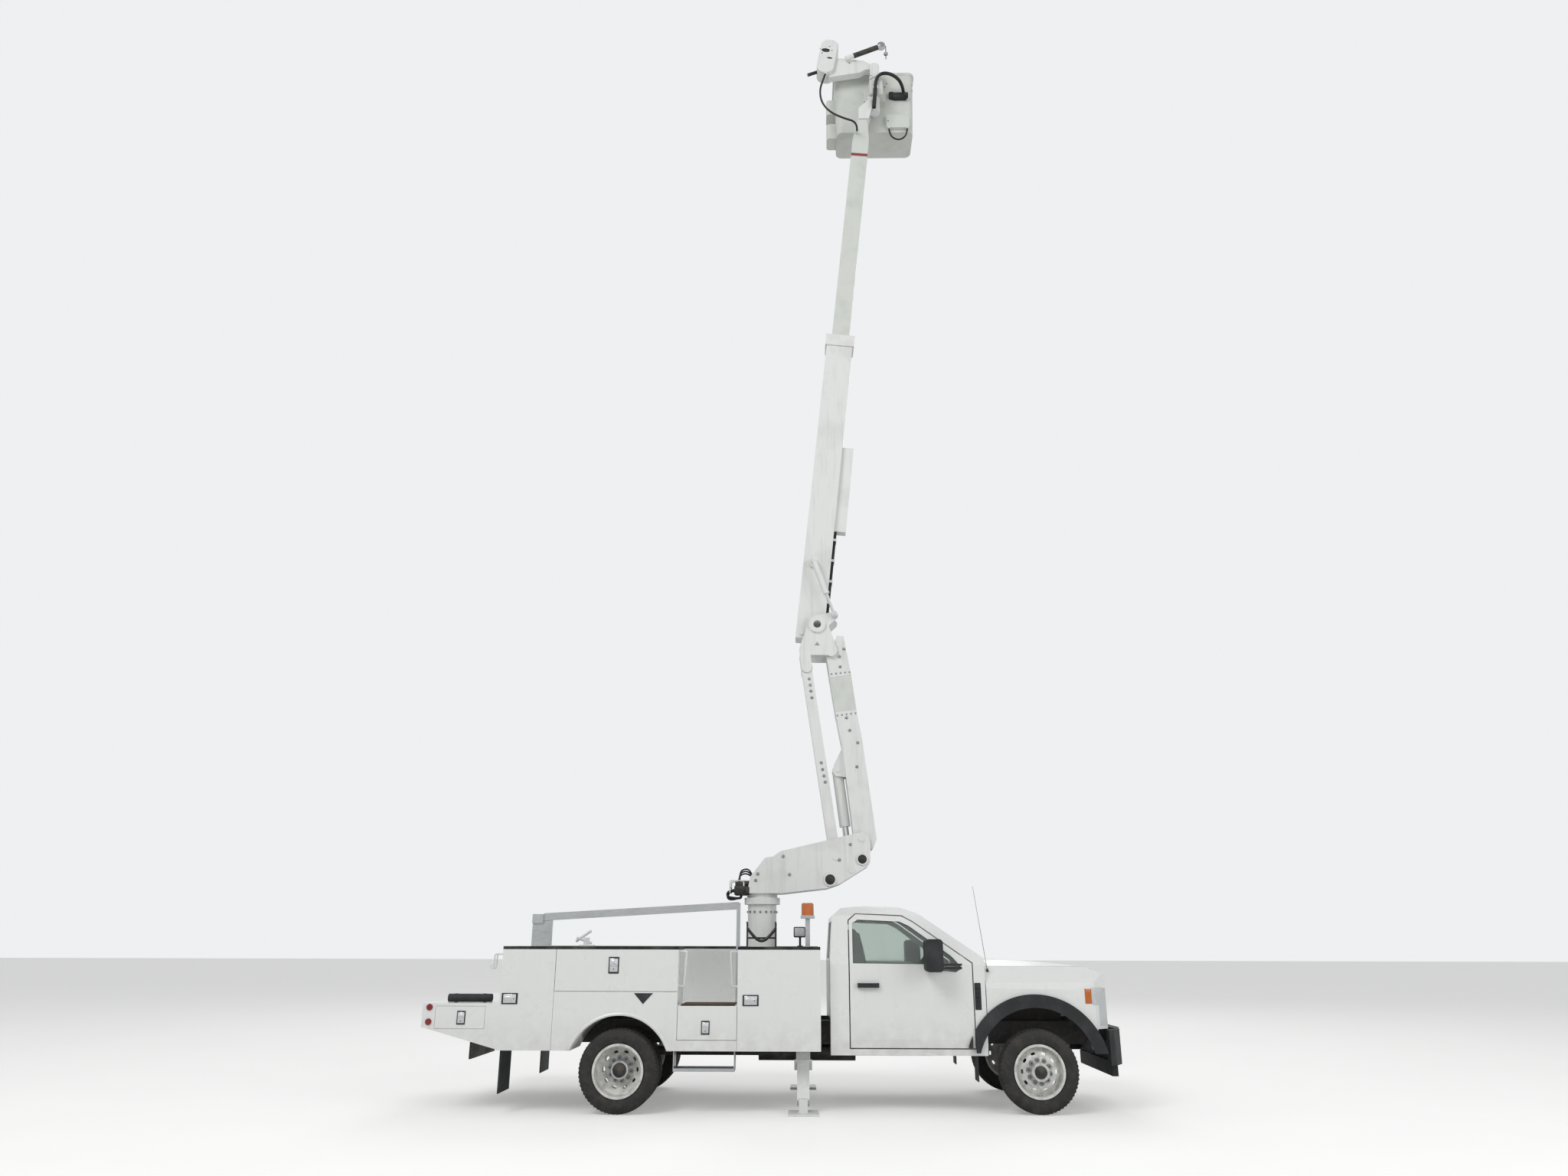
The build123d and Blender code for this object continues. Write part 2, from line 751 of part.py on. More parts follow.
with BuildPart() as cab_shell:
    add(cab_outer)
    add(cab_inner, mode=Mode.SUBTRACT)
    add(right_opening, mode=Mode.SUBTRACT)
    add(left_opening.part, mode=Mode.SUBTRACT)
    add(across_tool(screen_outline, 3130, 3900), mode=Mode.SUBTRACT)
    add(across_tool(rear_light, 2100, 2300), mode=Mode.SUBTRACT)
    add(block((2171, 3789), (-cab_floor_in, cab_floor_in), (sill_z, floor_z)))
    add(block((2100, 3900), (-tunnel_half, tunnel_half), (sill_z - 1, floor_z - cab_wall)), mode=Mode.SUBTRACT)
    for mount_x in (2300, 3500):
        for rail_side in (-1, 1):
            add(block(
                (mount_x - 50, mount_x + 50),
                sorted((rail_side * rail_in, rail_side * rail_out)),
                (rail_top, floor_z - cab_wall),
            ))
save(cab_shell, "cab_shell")

# Screen and rear light, set in from the outer skin by the glass depth
with BuildPart() as screen_tools:
    add(across_tool(screen_outline, 3131, 3899))
    add(across_tool(rear_light, 2101, 2299))

with BuildPart() as cab_glass:
    add(glass_outer)
    add(glass_inner, mode=Mode.SUBTRACT)
    add(screen_tools.part, mode=Mode.INTERSECT)
save(cab_glass, "cab_glass")

# Doors: the cab's own skin inside the door outline, with the window cut out
with BuildPart() as cab_door:
    add(cab_outer)
    add(cab_inner, mode=Mode.SUBTRACT)
    add(outline_tool(door_outline, 0), mode=Mode.INTERSECT)
    add(outline_tool(window_outline, 0), mode=Mode.SUBTRACT)
save_pair(cab_door, "cab_door")

with BuildPart() as door_glass:
    add(glass_outer)
    add(glass_inner, mode=Mode.SUBTRACT)
    add(outline_tool(window_outline, 0), mode=Mode.INTERSECT)
save_pair(door_glass, "door_glass")

# Arch flare, cut at the shut line into a piece on the wing and a piece on the door
front_arch_r = 630.0
flare_low = 575.0
flare_t = 28.0


def flare_ring(low):
    """Flare round the front wheel on the right, above a level."""
    with BuildPart() as ring:
        with BuildSketch(side(-cab_half)):
            with Locations((wheelbase, tyre_r)):
                Circle(front_arch_r + 110)
                Circle(front_arch_r - 20, mode=Mode.SUBTRACT)
            with Locations((wheelbase, low - 700)):
                Rectangle(1700, 1400, mode=Mode.SUBTRACT)
        extrude(amount=flare_t)
    return ring.part


with BuildPart() as door_flare:
    add(flare_ring(door_low_z + 5))
    flare_cut = door_front_x - flare_t
    add(block((flare_cut, 5300), (-cab_half - flare_t - 1, -cab_half + 1), (500, 1200)), mode=Mode.SUBTRACT)

# Mirror on two arms from the door, with the door's pull handle
mirror_x = (3150.0, 3330.0)
mirror_y = (-1290.0, -1050.0)
mirror_z = (1365.0, 1690.0)
with BuildPart() as door_mirror:
    add(block(mirror_x, mirror_y, mirror_z))
    fillet(door_mirror.edges().filter_by(Axis.Y), 40)
    for arm_z in (1390.0, 1425.0):
        with BuildSketch(level(arm_z)):
            with BuildLine():
                Polyline((3270, -1080), (3310, -1080), (3640, -960), (3600, -960), close=True)
            make_face()
        extrude(amount=20)
    add(cab_outer, mode=Mode.SUBTRACT)

with BuildPart() as door_handle:
    add(block((2455, 2680), (-1038, -1018), (1205, 1250)))
    for end_x in (2455, 2650):
        add(block((end_x, end_x + 30), (-1020, -980), (1205, 1250)))
    add(cab_outer, mode=Mode.SUBTRACT)

with BuildPart() as door_fittings:
    add(door_flare.part)
    add(door_mirror.part)
    add(door_handle.part)
save_pair(door_fittings, "door_fittings")

# Bench seat, dash and steering wheel
with BuildPart() as bench_seat:
    add(block((2450, 2950), (-820, 820), (floor_z + 120, 1230)))
    add(block((2450, 2850), (-760, 760), (floor_z, floor_z + 120)))
    with BuildSketch(side(820)):
        with BuildLine():
            Polyline((2450, 1150), (2330, 1780), (2450, 1800), (2600, 1150), close=True)
        make_face()
    extrude(amount=1640)
    fillet(bench_seat.edges().filter_by(Axis.Y).group_by(Axis.Z)[-1], 40)

with BuildPart() as dashboard:
    dash = [(3400, 1130), (3380, 1330), (3480, 1420), (3734, 1420), (3734, floor_z), (3560, floor_z)]
    add(slab(dash, -900, 900))

column_plane = Plane(origin=at(3240, 400, 1380), x_dir=(0, 1, 0), z_dir=(4, 0, -3))
with BuildPart() as steering_wheel:
    with BuildSketch(Plane(origin=column_plane.origin, x_dir=(0, 1, 0), z_dir=(3, 0, 4))):
        with Locations((185, 0)):
            Circle(15)
    revolve(axis=Axis(column_plane.origin, column_plane.z_dir))
    with BuildSketch(column_plane.offset(-10)):
        Circle(60)
    extrude(amount=30)
    with BuildSketch(column_plane.offset(-5)):
        Rectangle(20, 370)
        Rectangle(370, 20)
    extrude(amount=12)
    with BuildSketch(column_plane):
        Circle(28)
    extrude(amount=230)

with BuildPart() as cab_interior:
    add(bench_seat.part)
    add(dashboard.part)
    add(steering_wheel.part)
save(cab_interior, "cab_interior")

# Front clip: side outline, plan and cross section meet in one form
clip_rear = cab_front + 8.0
clip_front = 5150.0
clip_outline = [
    (clip_rear, 600),
    (clip_rear, 1500),
    (3880, 1492),
    (4640, 1445),
    (4900, 1405),
    (5060, 1335),
    (5125, 1250),
    (clip_front, 1120),
    (clip_front, 600),
]
clip_plan = [
    (clip_rear, cab_half - 5),
    (4700, cab_half),
    (4930, cab_half - 30),
    (5070, cab_half - 150),
    (5130, cab_half - 380),
    (clip_front, cab_half - 700),
]
clip_section = [
    (cab_half, 600),
    (cab_half, 1190),
    (cab_half - 30, 1260),
    (cab_half - 110, 1340),
    (cab_half - 200, 1420),
    (cab_half - 420, 1480),
    (cab_half - 700, 1500),
]


def clip_solid(inset):
    """The bonnet and wings' whole form, drawn in on all sides by an inset."""
    plan = clip_plan + [(x, -y) for x, y in reversed(clip_plan)]
    section = clip_section + [(-y, z) for y, z in reversed(clip_section)]
    with BuildPart() as solid:
        with BuildSketch(side()):
            with BuildLine():
                Polyline(*clip_outline, close=True)
            make_face()
            if inset:
                offset(amount=-inset, kind=Kind.INTERSECTION)
        extrude(amount=1500, both=True)
        with BuildSketch(level(400)):
            with BuildLine():
                Polyline(*plan, close=True)
            make_face()
            if inset:
                offset(amount=-inset, kind=Kind.INTERSECTION)
        extrude(amount=1500, mode=Mode.INTERSECT)
        with BuildSketch(front(3500)):
            with BuildLine():
                Polyline(*section, close=True)
            make_face()
            if inset:
                offset(amount=-inset, kind=Kind.INTERSECTION)
        extrude(amount=2000, mode=Mode.INTERSECT)
    return solid.part


clip_wall = 45.0
bumper_z = (460.0, 800.0)
hood_half = 800.0
hood_rear = 3844.0
hood_pin = (3852.0, 1487.0)
hood_pin_r = 5.0
hood_lugs_y = (-520.0, 520.0)
hood_lug_half = 20.0
grille_outline = [(-600, 840), (-600, 1180), (600, 1180), (600, 840)]
lamp_outline = [(-935, 835), (-935, 1150), (-900, 1205), (-620, 1205), (-620, 835)]
clip_outer = clip_solid(0)
clip_inner = clip_solid(clip_wall)
with BuildPart() as clip_shell:
    add(clip_outer)
    add(clip_inner, mode=Mode.SUBTRACT)
    add(block((clip_rear - 10, clip_rear + clip_wall + 1), (-700, 700), (560, 1420)), mode=Mode.SUBTRACT)
    for flange in (-1, 1):
        add(block((cab_front, clip_rear + 1), sorted((flange * 840, flange * 930)), (700, 1200)))
    add(block((clip_rear - 10, 5040), (-880, 880), (560, 660)), mode=Mode.SUBTRACT)
    add(block((4940, 5300), (-1100, 1100), (500, bumper_z[1] + shut)), mode=Mode.SUBTRACT)


def hood_tool(grow):
    """Region of the clip that lifts with the bonnet."""
    edge = [(hood_rear - grow, 1345 - grow), (5200, 1215 - grow), (5200, 1700), (hood_rear - grow, 1700)]
    return slab(edge, -hood_half - grow, hood_half + grow)


with BuildPart() as front_clip:
    add(clip_shell.part)
    add(hood_tool(hood_gap), mode=Mode.SUBTRACT)
    for lug_y in hood_lugs_y:
        lug_span = (lug_y - hood_lug_half, lug_y + hood_lug_half)
        add(block((hood_rear - hood_gap - 20, hood_pin[0]), lug_span, (hood_pin[1] - 9, hood_pin[1] + 5)))
        add(rod(hood_pin, 9, *lug_span))
        add(rod(hood_pin, hood_pin_r + running, *lug_span), mode=Mode.SUBTRACT)
    add(rod((wheelbase, tyre_r), front_arch_r, -1500, 1500), mode=Mode.SUBTRACT)
    add(across_tool(grille_outline, 4990, 5300), mode=Mode.SUBTRACT)
    add(across_tool(lamp_outline, 4760, 5300), mode=Mode.SUBTRACT)
    add(across_tool([(-y, z) for y, z in lamp_outline], 4760, 5300), mode=Mode.SUBTRACT)
save(front_clip, "front_clip")

with BuildPart() as hood:
    add(clip_shell.part)
    add(hood_tool(0), mode=Mode.INTERSECT)
    for lug_y in hood_lugs_y:
        notch = (lug_y - hood_lug_half - 4, lug_y + hood_lug_half + 4)
        add(block((hood_rear - 1, hood_pin[0] + 16), notch, (1400, 1520)), mode=Mode.SUBTRACT)
        add(rod(hood_pin, hood_pin_r, notch[0] - 10, notch[1] + 10))
save(hood, "hood")

with BuildPart() as grille:
    add(clip_shell.part)
    add(across_tool(grille_outline, 4990, 5300), mode=Mode.INTERSECT)
    for slot_z in (890.0, 975.0, 1060.0, 1140.0):
        add(block((4900, 5300), (-560, 560), (slot_z - 24, slot_z + 24)), mode=Mode.SUBTRACT)
    for post_y in (-300.0, 0.0, 300.0):
        add(block((5108, 5130), (post_y - 12, post_y + 12), (850, 1170)))

with BuildPart() as headlamps:
    add(clip_shell.part)
    add(across_tool(lamp_outline, 4760, 5300), mode=Mode.INTERSECT)
    mirror(about=Plane.XZ)

with BuildPart() as lamps:
    add(headlamps.part)
    add(beacon_lens.part)
    add(tail_lights.part)
save(lamps, "lamps")

# Arch flares on the wings
with BuildPart() as arch_flares:
    add(flare_ring(flare_low))
    add(block((3000, door_front_x + shut), (-cab_half - flare_t - 1, -cab_half + 1), (500, 1200)), mode=Mode.SUBTRACT)
    mirror(about=Plane.XZ)

with BuildPart() as wheel_guards:
    add(arch_flares.part)
    add(flaps.part)
save(wheel_guards, "wheel_guards")

# Front bumper wraps round the nose and hangs on the frame
bumper_front_x = wheelbase + front_overhang
bumper_plan = [
    (5040, cab_half),
    (5100, cab_half - 30),
    (5200, cab_half - 200),
    (bumper_front_x, cab_half - 480),
]
with BuildPart() as front_bumper:
    with BuildSketch(level(bumper_z[0])):
        with BuildLine():
            Polyline(*(bumper_plan + [(x, -y) for x, y in reversed(bumper_plan)]), close=True)
        make_face()
    extrude(amount=bumper_z[1] - bumper_z[0])
    add(block((4900, 5160), (-860, 860), (400, 900)), mode=Mode.SUBTRACT)
    add(block((5120, 5180), (-700, 700), (330, 470)))
    for rail_side in (-1, 1):
        add(block((frame_front, 5165), sorted((rail_side * rail_in, rail_side * rail_out)), (660, 780)))

with BuildPart() as bumper_and_grille:
    add(front_bumper.part)
    add(grille.part)
save(bumper_and_grille, "bumper_and_grille")

# Turret: two deep side plates on a bearing ring, open between for the folded arms
turret_profile = [
    (1257, 2190),
    (1260, 2270),
    (1281, 2374),
    (1448, 2587),
    (1540, 2600),
    (1627, 2660),
    (2579, 2880),
    (2650, 2820),
    (2669, 2760),
    (2665, 2540),
    (2645, 2500),
    (2310, 2297),
    (2168, 2249),
    (1643, 2190),
]
link_foot = (
    riser_foot[0] + link_head[0] - riser_head[0],
    riser_foot[1] + link_head[1] - riser_head[1],
)
with BuildPart() as turret:
    with Locations(at(pedestal_x, 0, bearing_split + running)):
        Cylinder(pedestal_r + 40, pedestal_top + bearing_h - bearing_split, align=(Align.CENTER, Align.CENTER, Align.MIN))
    with Locations(at(pedestal_x, 0, bearing_split + running)):
        Cylinder(pedestal_r + 10, 2190 - bearing_split, align=(Align.CENTER, Align.CENTER, Align.MIN))
    for plate_side in (-1, 1):
        add(slab(turret_profile, *sorted((plate_side * plate_y, plate_side * (plate_y + plate_t)))))
    add(slab([(1258, 2190), (1258, 2215), (1643, 2215), (2168, 2274), (2168, 2249), (1643, 2190)], -plate_y, plate_y))
    add(rod(riser_foot, pin_r, -plate_y - plate_t - 15, plate_y + plate_t + 15))
    for pin_side in (-1, 1):
        add(rod(riser_cyl_foot, pin_r + 8, *sorted((pin_side * plate_y, pin_side * (plate_y + plate_t + 10)))))
        add(rod(link_foot, pin_r, *sorted((pin_side * (link_y - 4), pin_side * (plate_y + plate_t + 10)))))
    for hole in ((2571, 2570, 52), (2198, 2342, 58)):
        add(rod(hole[0:2], hole[2], -300, 300), mode=Mode.SUBTRACT)
save(turret, "turret")

# Riser: hollow steel box with ears for its cylinder, cheeks at the head, insulating insert
riser_low = [
    (2470, 2720),
    (2500, 2690),
    (2700, 2690),
    (2748, 2800),
    (2594, 4017),
    (2542, 4300),
    (2290, 4278),
    (2361, 3894),
    (2474, 2900),
]
riser_mid = [(2290, 4278), (2542, 4300), (2481, 4764), (2222, 4728)]
riser_top = [(2222, 4728), (2481, 4764), (2395, 5255), (2310, 5262), (2262, 5130), (2180, 5090), (2180, 5020)]


def hollow(points, wall, y_half):
    """Box of plates: the outline pulled across, less its inside."""
    with BuildPart() as box:
        with BuildSketch(side(y_half)):
            with BuildLine():
                Polyline(*points, close=True)
            make_face()
        extrude(amount=2 * y_half)
        with BuildSketch(side(y_half - wall)):
            with BuildLine():
                Polyline(*points, close=True)
            make_face()
            offset(amount=-wall, kind=Kind.INTERSECTION)
        extrude(amount=2 * (y_half - wall), mode=Mode.SUBTRACT)
    return box.part


ear_outline = [(2370, 3900), (2262, 3680), (2240, 3600), (2280, 3545), (2410, 3530)]
with BuildPart() as riser:
    add(hollow(riser_low, riser_wall, riser_half))
    add(rod(riser_foot, pin_r + 28, -riser_half, riser_half))
    add(rod(riser_foot, pin_r + running, -riser_half, riser_half), mode=Mode.SUBTRACT)
    for ear_side in (-1, 1):
        add(slab(ear_outline, *sorted((ear_side * 72, ear_side * 92))))
    add(rod(riser_cyl_head, pin_r - 5, -100, 100))

with BuildPart() as riser_insert:
    add(hollow(riser_mid, riser_wall - 3, riser_half - 3))

cap = [(2222, 4728), (2481, 4764), (2475, 4800), (2216, 4764)]
with BuildPart() as riser_cheeks:
    add(slab(cap, -riser_half, riser_half))
    for cheek in (-1, 1):
        add(slab(riser_top, *sorted((cheek * (riser_half - riser_wall), cheek * riser_half))))
        add(rod(riser_head, 60, *sorted((cheek * (riser_half - riser_wall), cheek * riser_half))))
    add(rod(riser_head, pin_r + running, -riser_half, riser_half), mode=Mode.SUBTRACT)

with BuildPart() as riser_whole:
    add(riser.part)
    add(riser_insert.part)
    add(riser_cheeks.part)
save(riser_whole, "riser")

# Levelling link: twin bars outside the riser, from the turret's stubs to the elbow's
with BuildPart() as level_link:
    start = Vector(*at(link_foot[0], 0, link_foot[1]))
    finish = Vector(*at(link_head[0], 0, link_head[1]))
    along = (finish - start).normalized()
    square = Vector(along.Z, 0, -along.X)
    for bar_side in (-1, 1):
        near = bar_side * link_y
        far = bar_side * (link_y + link_t)
        with BuildSketch(Plane(origin=(start + finish) / 2 + Vector(0, max(near, far), 0), x_dir=along, z_dir=(0, -1, 0))):
            Rectangle((finish - start).length, 120)
        extrude(amount=link_t)
        for eye in (link_foot, link_head):
            add(rod(eye, 72, *sorted((near, far))))
    for eye in (link_foot, link_head):
        add(rod(eye, pin_r + running, -300, 300), mode=Mode.SUBTRACT)
save(level_link, "level_link")

# Elbow: two plates with a boss at the boom pivot, an arm to the link and a foot to the riser
boom_cyl_head = (2032.0, 6214.0)
boom_cyl_foot = (2281.0, 5508.0)
boom_cyl_y = 258.0
link_hole = (1916.0, 5067.0)
elbow_lobes = [
    ((boom_pivot, 130), (riser_head, 74)),
    ((boom_pivot, 110), (boom_cyl_foot, 50)),
    ((boom_pivot, 118), (link_hole, 68)),
    ((link_hole, 68), (link_head, 62)),
    ((link_hole, 60), (riser_head, 60)),
]


def lobe(end_a, end_b, y_from, y_to):
    """Plate with two rounded ends, each a centre and a radius, and straight flanks between."""
    with BuildPart() as piece:
        with BuildSketch(side(y_to)):
            with BuildLine():
                CenterArc(end_a[0], end_a[1], 0, 360)
                CenterArc(end_b[0], end_b[1], 0, 360)
            make_hull()
        extrude(amount=y_to - y_from)
    return piece.part


with BuildPart() as elbow:
    for elbow_side in (-1, 1):
        near = elbow_side * elbow_y
        far = elbow_side * (elbow_y + elbow_t)
        for lobe_from, lobe_to in elbow_lobes:
            add(lobe(lobe_from, lobe_to, *sorted((near, far))))
        add(rod(boom_pivot, 102, *sorted((near, elbow_side * (elbow_y + 45)))))
        add(rod(link_head, pin_r, *sorted((elbow_side * (link_y - 3), far))))
    add(rod(riser_head, pin_r, -elbow_y, elbow_y))
    add(rod(boom_pivot, 60, -elbow_y - 45, elbow_y + 45))
    add(rod(boom_pivot, 48, -300, 300), mode=Mode.SUBTRACT)
save(elbow, "elbow")

# Riser cylinder between the ears, and the pair of boom cylinders outside the elbow
riser_barrel_run = 660.0
open_gap = 6.0
riser_cyl_len = Vector(*riser_cyl_head).sub(Vector(*riser_cyl_foot)).length
with BuildPart() as riser_barrel:
    add(strut(riser_cyl_head, riser_cyl_foot, 65, 0, 0, riser_cyl_len - riser_barrel_run))
    add(rod(riser_cyl_head, 62, -66, 66))
    add(rod(riser_cyl_head, pin_r - 5 + running, -70, 70), mode=Mode.SUBTRACT)
    add(strut(riser_cyl_head, riser_cyl_foot, 38 + running, 0, 120, -10), mode=Mode.SUBTRACT)
save(riser_barrel, "riser_cylinder_barrel")

with BuildPart() as riser_rod:
    add(strut(riser_cyl_head, riser_cyl_foot, 38, 0, 560, 0))
    add(rod(riser_cyl_foot, 55, -60, 60))
    add(rod(riser_cyl_foot, pin_r - 5, -plate_y + open_gap, plate_y - open_gap))
save(riser_rod, "riser_cylinder_rod")

boom_barrel_run = 470.0
boom_cyl_len = Vector(*boom_cyl_head).sub(Vector(*boom_cyl_foot)).length
with BuildPart() as boom_barrels:
    for barrel_side in (-1, 1):
        y = barrel_side * boom_cyl_y
        add(strut(boom_cyl_head, boom_cyl_foot, 40, y, 0, boom_cyl_len - boom_barrel_run))
        add(rod(boom_cyl_head, 42, y - 38, y + 38))
        add(rod(boom_cyl_head, 20 + running, y - 40, y + 40), mode=Mode.SUBTRACT)
        add(strut(boom_cyl_head, boom_cyl_foot, 18 + running, y, 70, -10), mode=Mode.SUBTRACT)
save(boom_barrels, "boom_cylinder_barrels")

with BuildPart() as boom_rods:
    for rod_side in (-1, 1):
        y = rod_side * boom_cyl_y
        add(strut(boom_cyl_head, boom_cyl_foot, 18, y, 300, 0))
        pin_span = (rod_side * (elbow_y + elbow_t + open_gap), rod_side * (boom_cyl_y + 40))
        add(rod(boom_cyl_foot, 36, y - 28, y + 28))
        add(rod(boom_cyl_foot, 22, *sorted(pin_span)))
save(boom_rods, "boom_cylinder_rods")


def boom_box(across, along, half, plane=boom_side):
    """Box in the boom's own frame: across it, along it, and to each side of the middle."""
    with BuildPart() as piece:
        with BuildSketch(plane(half)):
            with Locations(((across[0] + across[1]) / 2, (along[0] + along[1]) / 2)):
                Rectangle(across[1] - across[0], along[1] - along[0])
        extrude(amount=2 * half)
    return piece.part


def boom_rod(centre, radius, half):
    """Round bar across the boom in its own frame."""
    with BuildPart() as piece:
        with BuildSketch(boom_side(half)):
            with Locations(centre):
                Circle(radius)
        extrude(amount=2 * half)
    return piece.part


def boom_pipe(across, y, run, radius):
    """Round bar along the boom, between two distances from its pivot."""
    lean = radians(boom_lean)
    square = Vector(cos(lean), 0, -sin(lean))
    along = Vector(sin(lean), 0, cos(lean))
    start = Vector(*at(boom_pivot[0], y, boom_pivot[1])) + square * across + along * run[0]
    with BuildPart() as piece:
        with BuildSketch(Plane(origin=start, z_dir=along)):
            Circle(radius)
        extrude(amount=run[1] - run[0])
    return piece.part


# Outer boom: hollow box with a bush at the pivot, cylinder trunnions and wear pads at its mouth
boom_wall = 12.0
boom_low = boom_mid - boom_depth / 2
boom_high = boom_mid + boom_depth / 2
pad_gap = 1.0
trough = (boom_high, boom_high + 150)
trough_run = (1300, 2480)
heel_pin = (1879.0, 5308.0)
hose_r = 17.0
hose_start = 140.0
with BuildPart() as outer_boom:
    add(boom_box((boom_low, boom_high), (boom_heel, boom_mouth), boom_half))
    add(boom_box((boom_low - 20, boom_high + 20), (boom_mouth - 160, boom_mouth), boom_half + 20))
    add(boom_box(
        (boom_low + boom_wall, boom_high - boom_wall), (boom_heel + boom_wall, boom_mouth + 1), boom_half - boom_wall,
    ), mode=Mode.SUBTRACT)
    add(boom_box((boom_low + 5, boom_high - 5), (boom_mouth - 150, boom_mouth), boom_half - 5))
    add(boom_box(
        (boom_mid - inner_depth / 2 - pad_gap, boom_mid + inner_depth / 2 + pad_gap),
        (boom_mouth - 151, boom_mouth + 1), inner_half + pad_gap,
    ), mode=Mode.SUBTRACT)
    add(boom_rod((0, 0), 95, elbow_y - 5))
    add(boom_rod((0, 0), 60 + running, elbow_y))
    add(boom_rod((0, 0), 60 + running, elbow_y), mode=Mode.SUBTRACT)
    for ear in (-1, 1):
        add(rod(boom_cyl_head, 20, *sorted((ear * (boom_half - boom_wall), ear * (boom_cyl_y + 45)))))
        add(rod(boom_cyl_head, 60, *sorted((ear * (boom_half - boom_wall), ear * (boom_half + 40)))))
        add(rod(heel_pin, 30, *sorted((ear * (boom_half - boom_wall), ear * (boom_half + 14)))))

# Hose trough along the boom's under side
with BuildPart() as hose_trough:
    add(boom_box(trough, trough_run, 70))
    for hose_y in (-44, 0, 44):
        add(boom_pipe(boom_high + hose_r - 1, hose_y, (hose_start, trough_run[0] + 1), hose_r))
    add(outer_boom.part)
save(hose_trough, "outer_boom")

def ferrule(end, before, radius, length):
    """Hose end fitting that carries on from a hose's last run."""
    tip = Vector(*at(*end))
    onward = (tip - Vector(*at(*before))).normalized()
    with BuildPart() as piece:
        with BuildSketch(Plane(origin=tip + onward * hose_gap, z_dir=onward)):
            Circle(radius)
        extrude(amount=length)
    return piece.part


def bend_radii(route):
    """A radius for each corner of a route: 0.45 of its shorter run over the tangent of half its turn."""
    runs = [(Vector(*b) - Vector(*a)) for a, b in zip(route, route[1:])]
    radii = []
    for run, following in zip(runs, runs[1:]):
        half_turn = radians(run.get_angle(following)) / 2
        radii.append(0.45 * min(run.length, following.length) * cos(half_turn) / sin(half_turn))
    return radii


def free_hose(route, radius, label):
    """Round hose along a route, with its bends and its volume against its length printed."""
    points = [Vector(*at(*point)) for point in route]
    radii = bend_radii(route)
    with BuildPart() as hose:
        with BuildLine() as line:
            FilletPolyline(*points, radius=radii)
        with BuildSketch(Plane(origin=points[0], z_dir=(points[1] - points[0]))):
            Circle(radius)
        sweep()
    full = pi * radius * radius * line.wires()[0].length
    print(label, "radii", [round(value) for value in radii], "volume share", round(hose.part.volume / full, 4))
    return hose


# Routes of the free hoses, X from the rear axle
hose_gap = 0.3
hose_rad = 14.0
hose_ferrule_r = 22.0
hose_route = [
    (2250, -90, 13915), (2215, -120, 13780), (2165, -170, 13560), (2185, -230, 13290), (2300, -300, 13050),
    (2490, -345, 12900), (2700, -322, 12846), (2700, -150.3, 12846),
]
loop_rad = 24.0
loop_start = (2985, -138, 13640)
loop_route = [
    loop_start, (2992, -140, 13780), (3088, -146, 13885), (3240, -132, 13868), (3390, -50, 13790), (3425, 117.7, 13750),
]
tool_rad = 12.0
tool_route = [
    (3190, 130, 13109.7), (3195, 130, 13050), (3230, 132, 12960), (3325, 130, 12905), (3420, 132, 12960),
    (3455, 130, 13050), (3460, 130, 13109.7),
]
ferrules_bucket = [
    (loop_start, loop_route[1], 32.0),
    (loop_route[-1], loop_route[-2], 32.0),
    (tool_route[0], tool_route[1], 18.0),
    (tool_route[-1], tool_route[-2], 18.0),
]

# Inner boom: insulating tube with wear pads at its heel and a steel tip
with BuildPart() as inner_boom:
    add(boom_box((boom_mid - inner_depth / 2, boom_mid + inner_depth / 2), (inner_heel, inner_tip - 700), inner_half))
    add(boom_box(
        (boom_mid - inner_depth / 2 + 14, boom_mid + inner_depth / 2 - 14), (inner_heel - 1, inner_tip - 701), inner_half - 14,
    ), mode=Mode.SUBTRACT)
    add(boom_box(
        (boom_low + boom_wall + pad_gap, boom_high - boom_wall - pad_gap), (inner_heel, inner_heel + 120), boom_half - boom_wall - pad_gap,
    ))
    add(boom_box(
        (boom_mid - inner_depth / 2 + 14, boom_mid + inner_depth / 2 - 14), (inner_heel - 1, inner_heel + 121), inner_half - 14,
    ), mode=Mode.SUBTRACT)

tip_low = boom_mid - inner_depth / 2
tip_high = boom_mid + inner_depth / 2
tip_point = (boom_mid, inner_tip)
with BuildPart() as boom_tip:
    with BuildSketch(boom_side(inner_half)):
        with BuildLine():
            Polyline(
                (tip_low, inner_tip - 700), (tip_low, inner_tip - 420), (boom_mid - 60, inner_tip),
                (boom_mid + 60, inner_tip), (tip_high, inner_tip - 420), (tip_high, inner_tip - 700), close=True,
            )
        make_face()
    extrude(amount=2 * inner_half)
    add(boom_rod(tip_point, 60, inner_half))
    add(boom_rod(tip_point, pin_r + running, inner_half + 1), mode=Mode.SUBTRACT)

with BuildPart() as inner_whole:
    add(inner_boom.part)
    add(boom_tip.part)
    add(ferrule(hose_route[-1], hose_route[-2], hose_ferrule_r, -hose_route[-1][1] - inner_half + 1))
save(inner_whole, "inner_boom")
lean = radians(boom_lean)
level_x = boom_pivot[0] + boom_mid * cos(lean) + inner_tip * sin(lean)
level_z = boom_pivot[1] - boom_mid * sin(lean) + inner_tip * cos(lean)

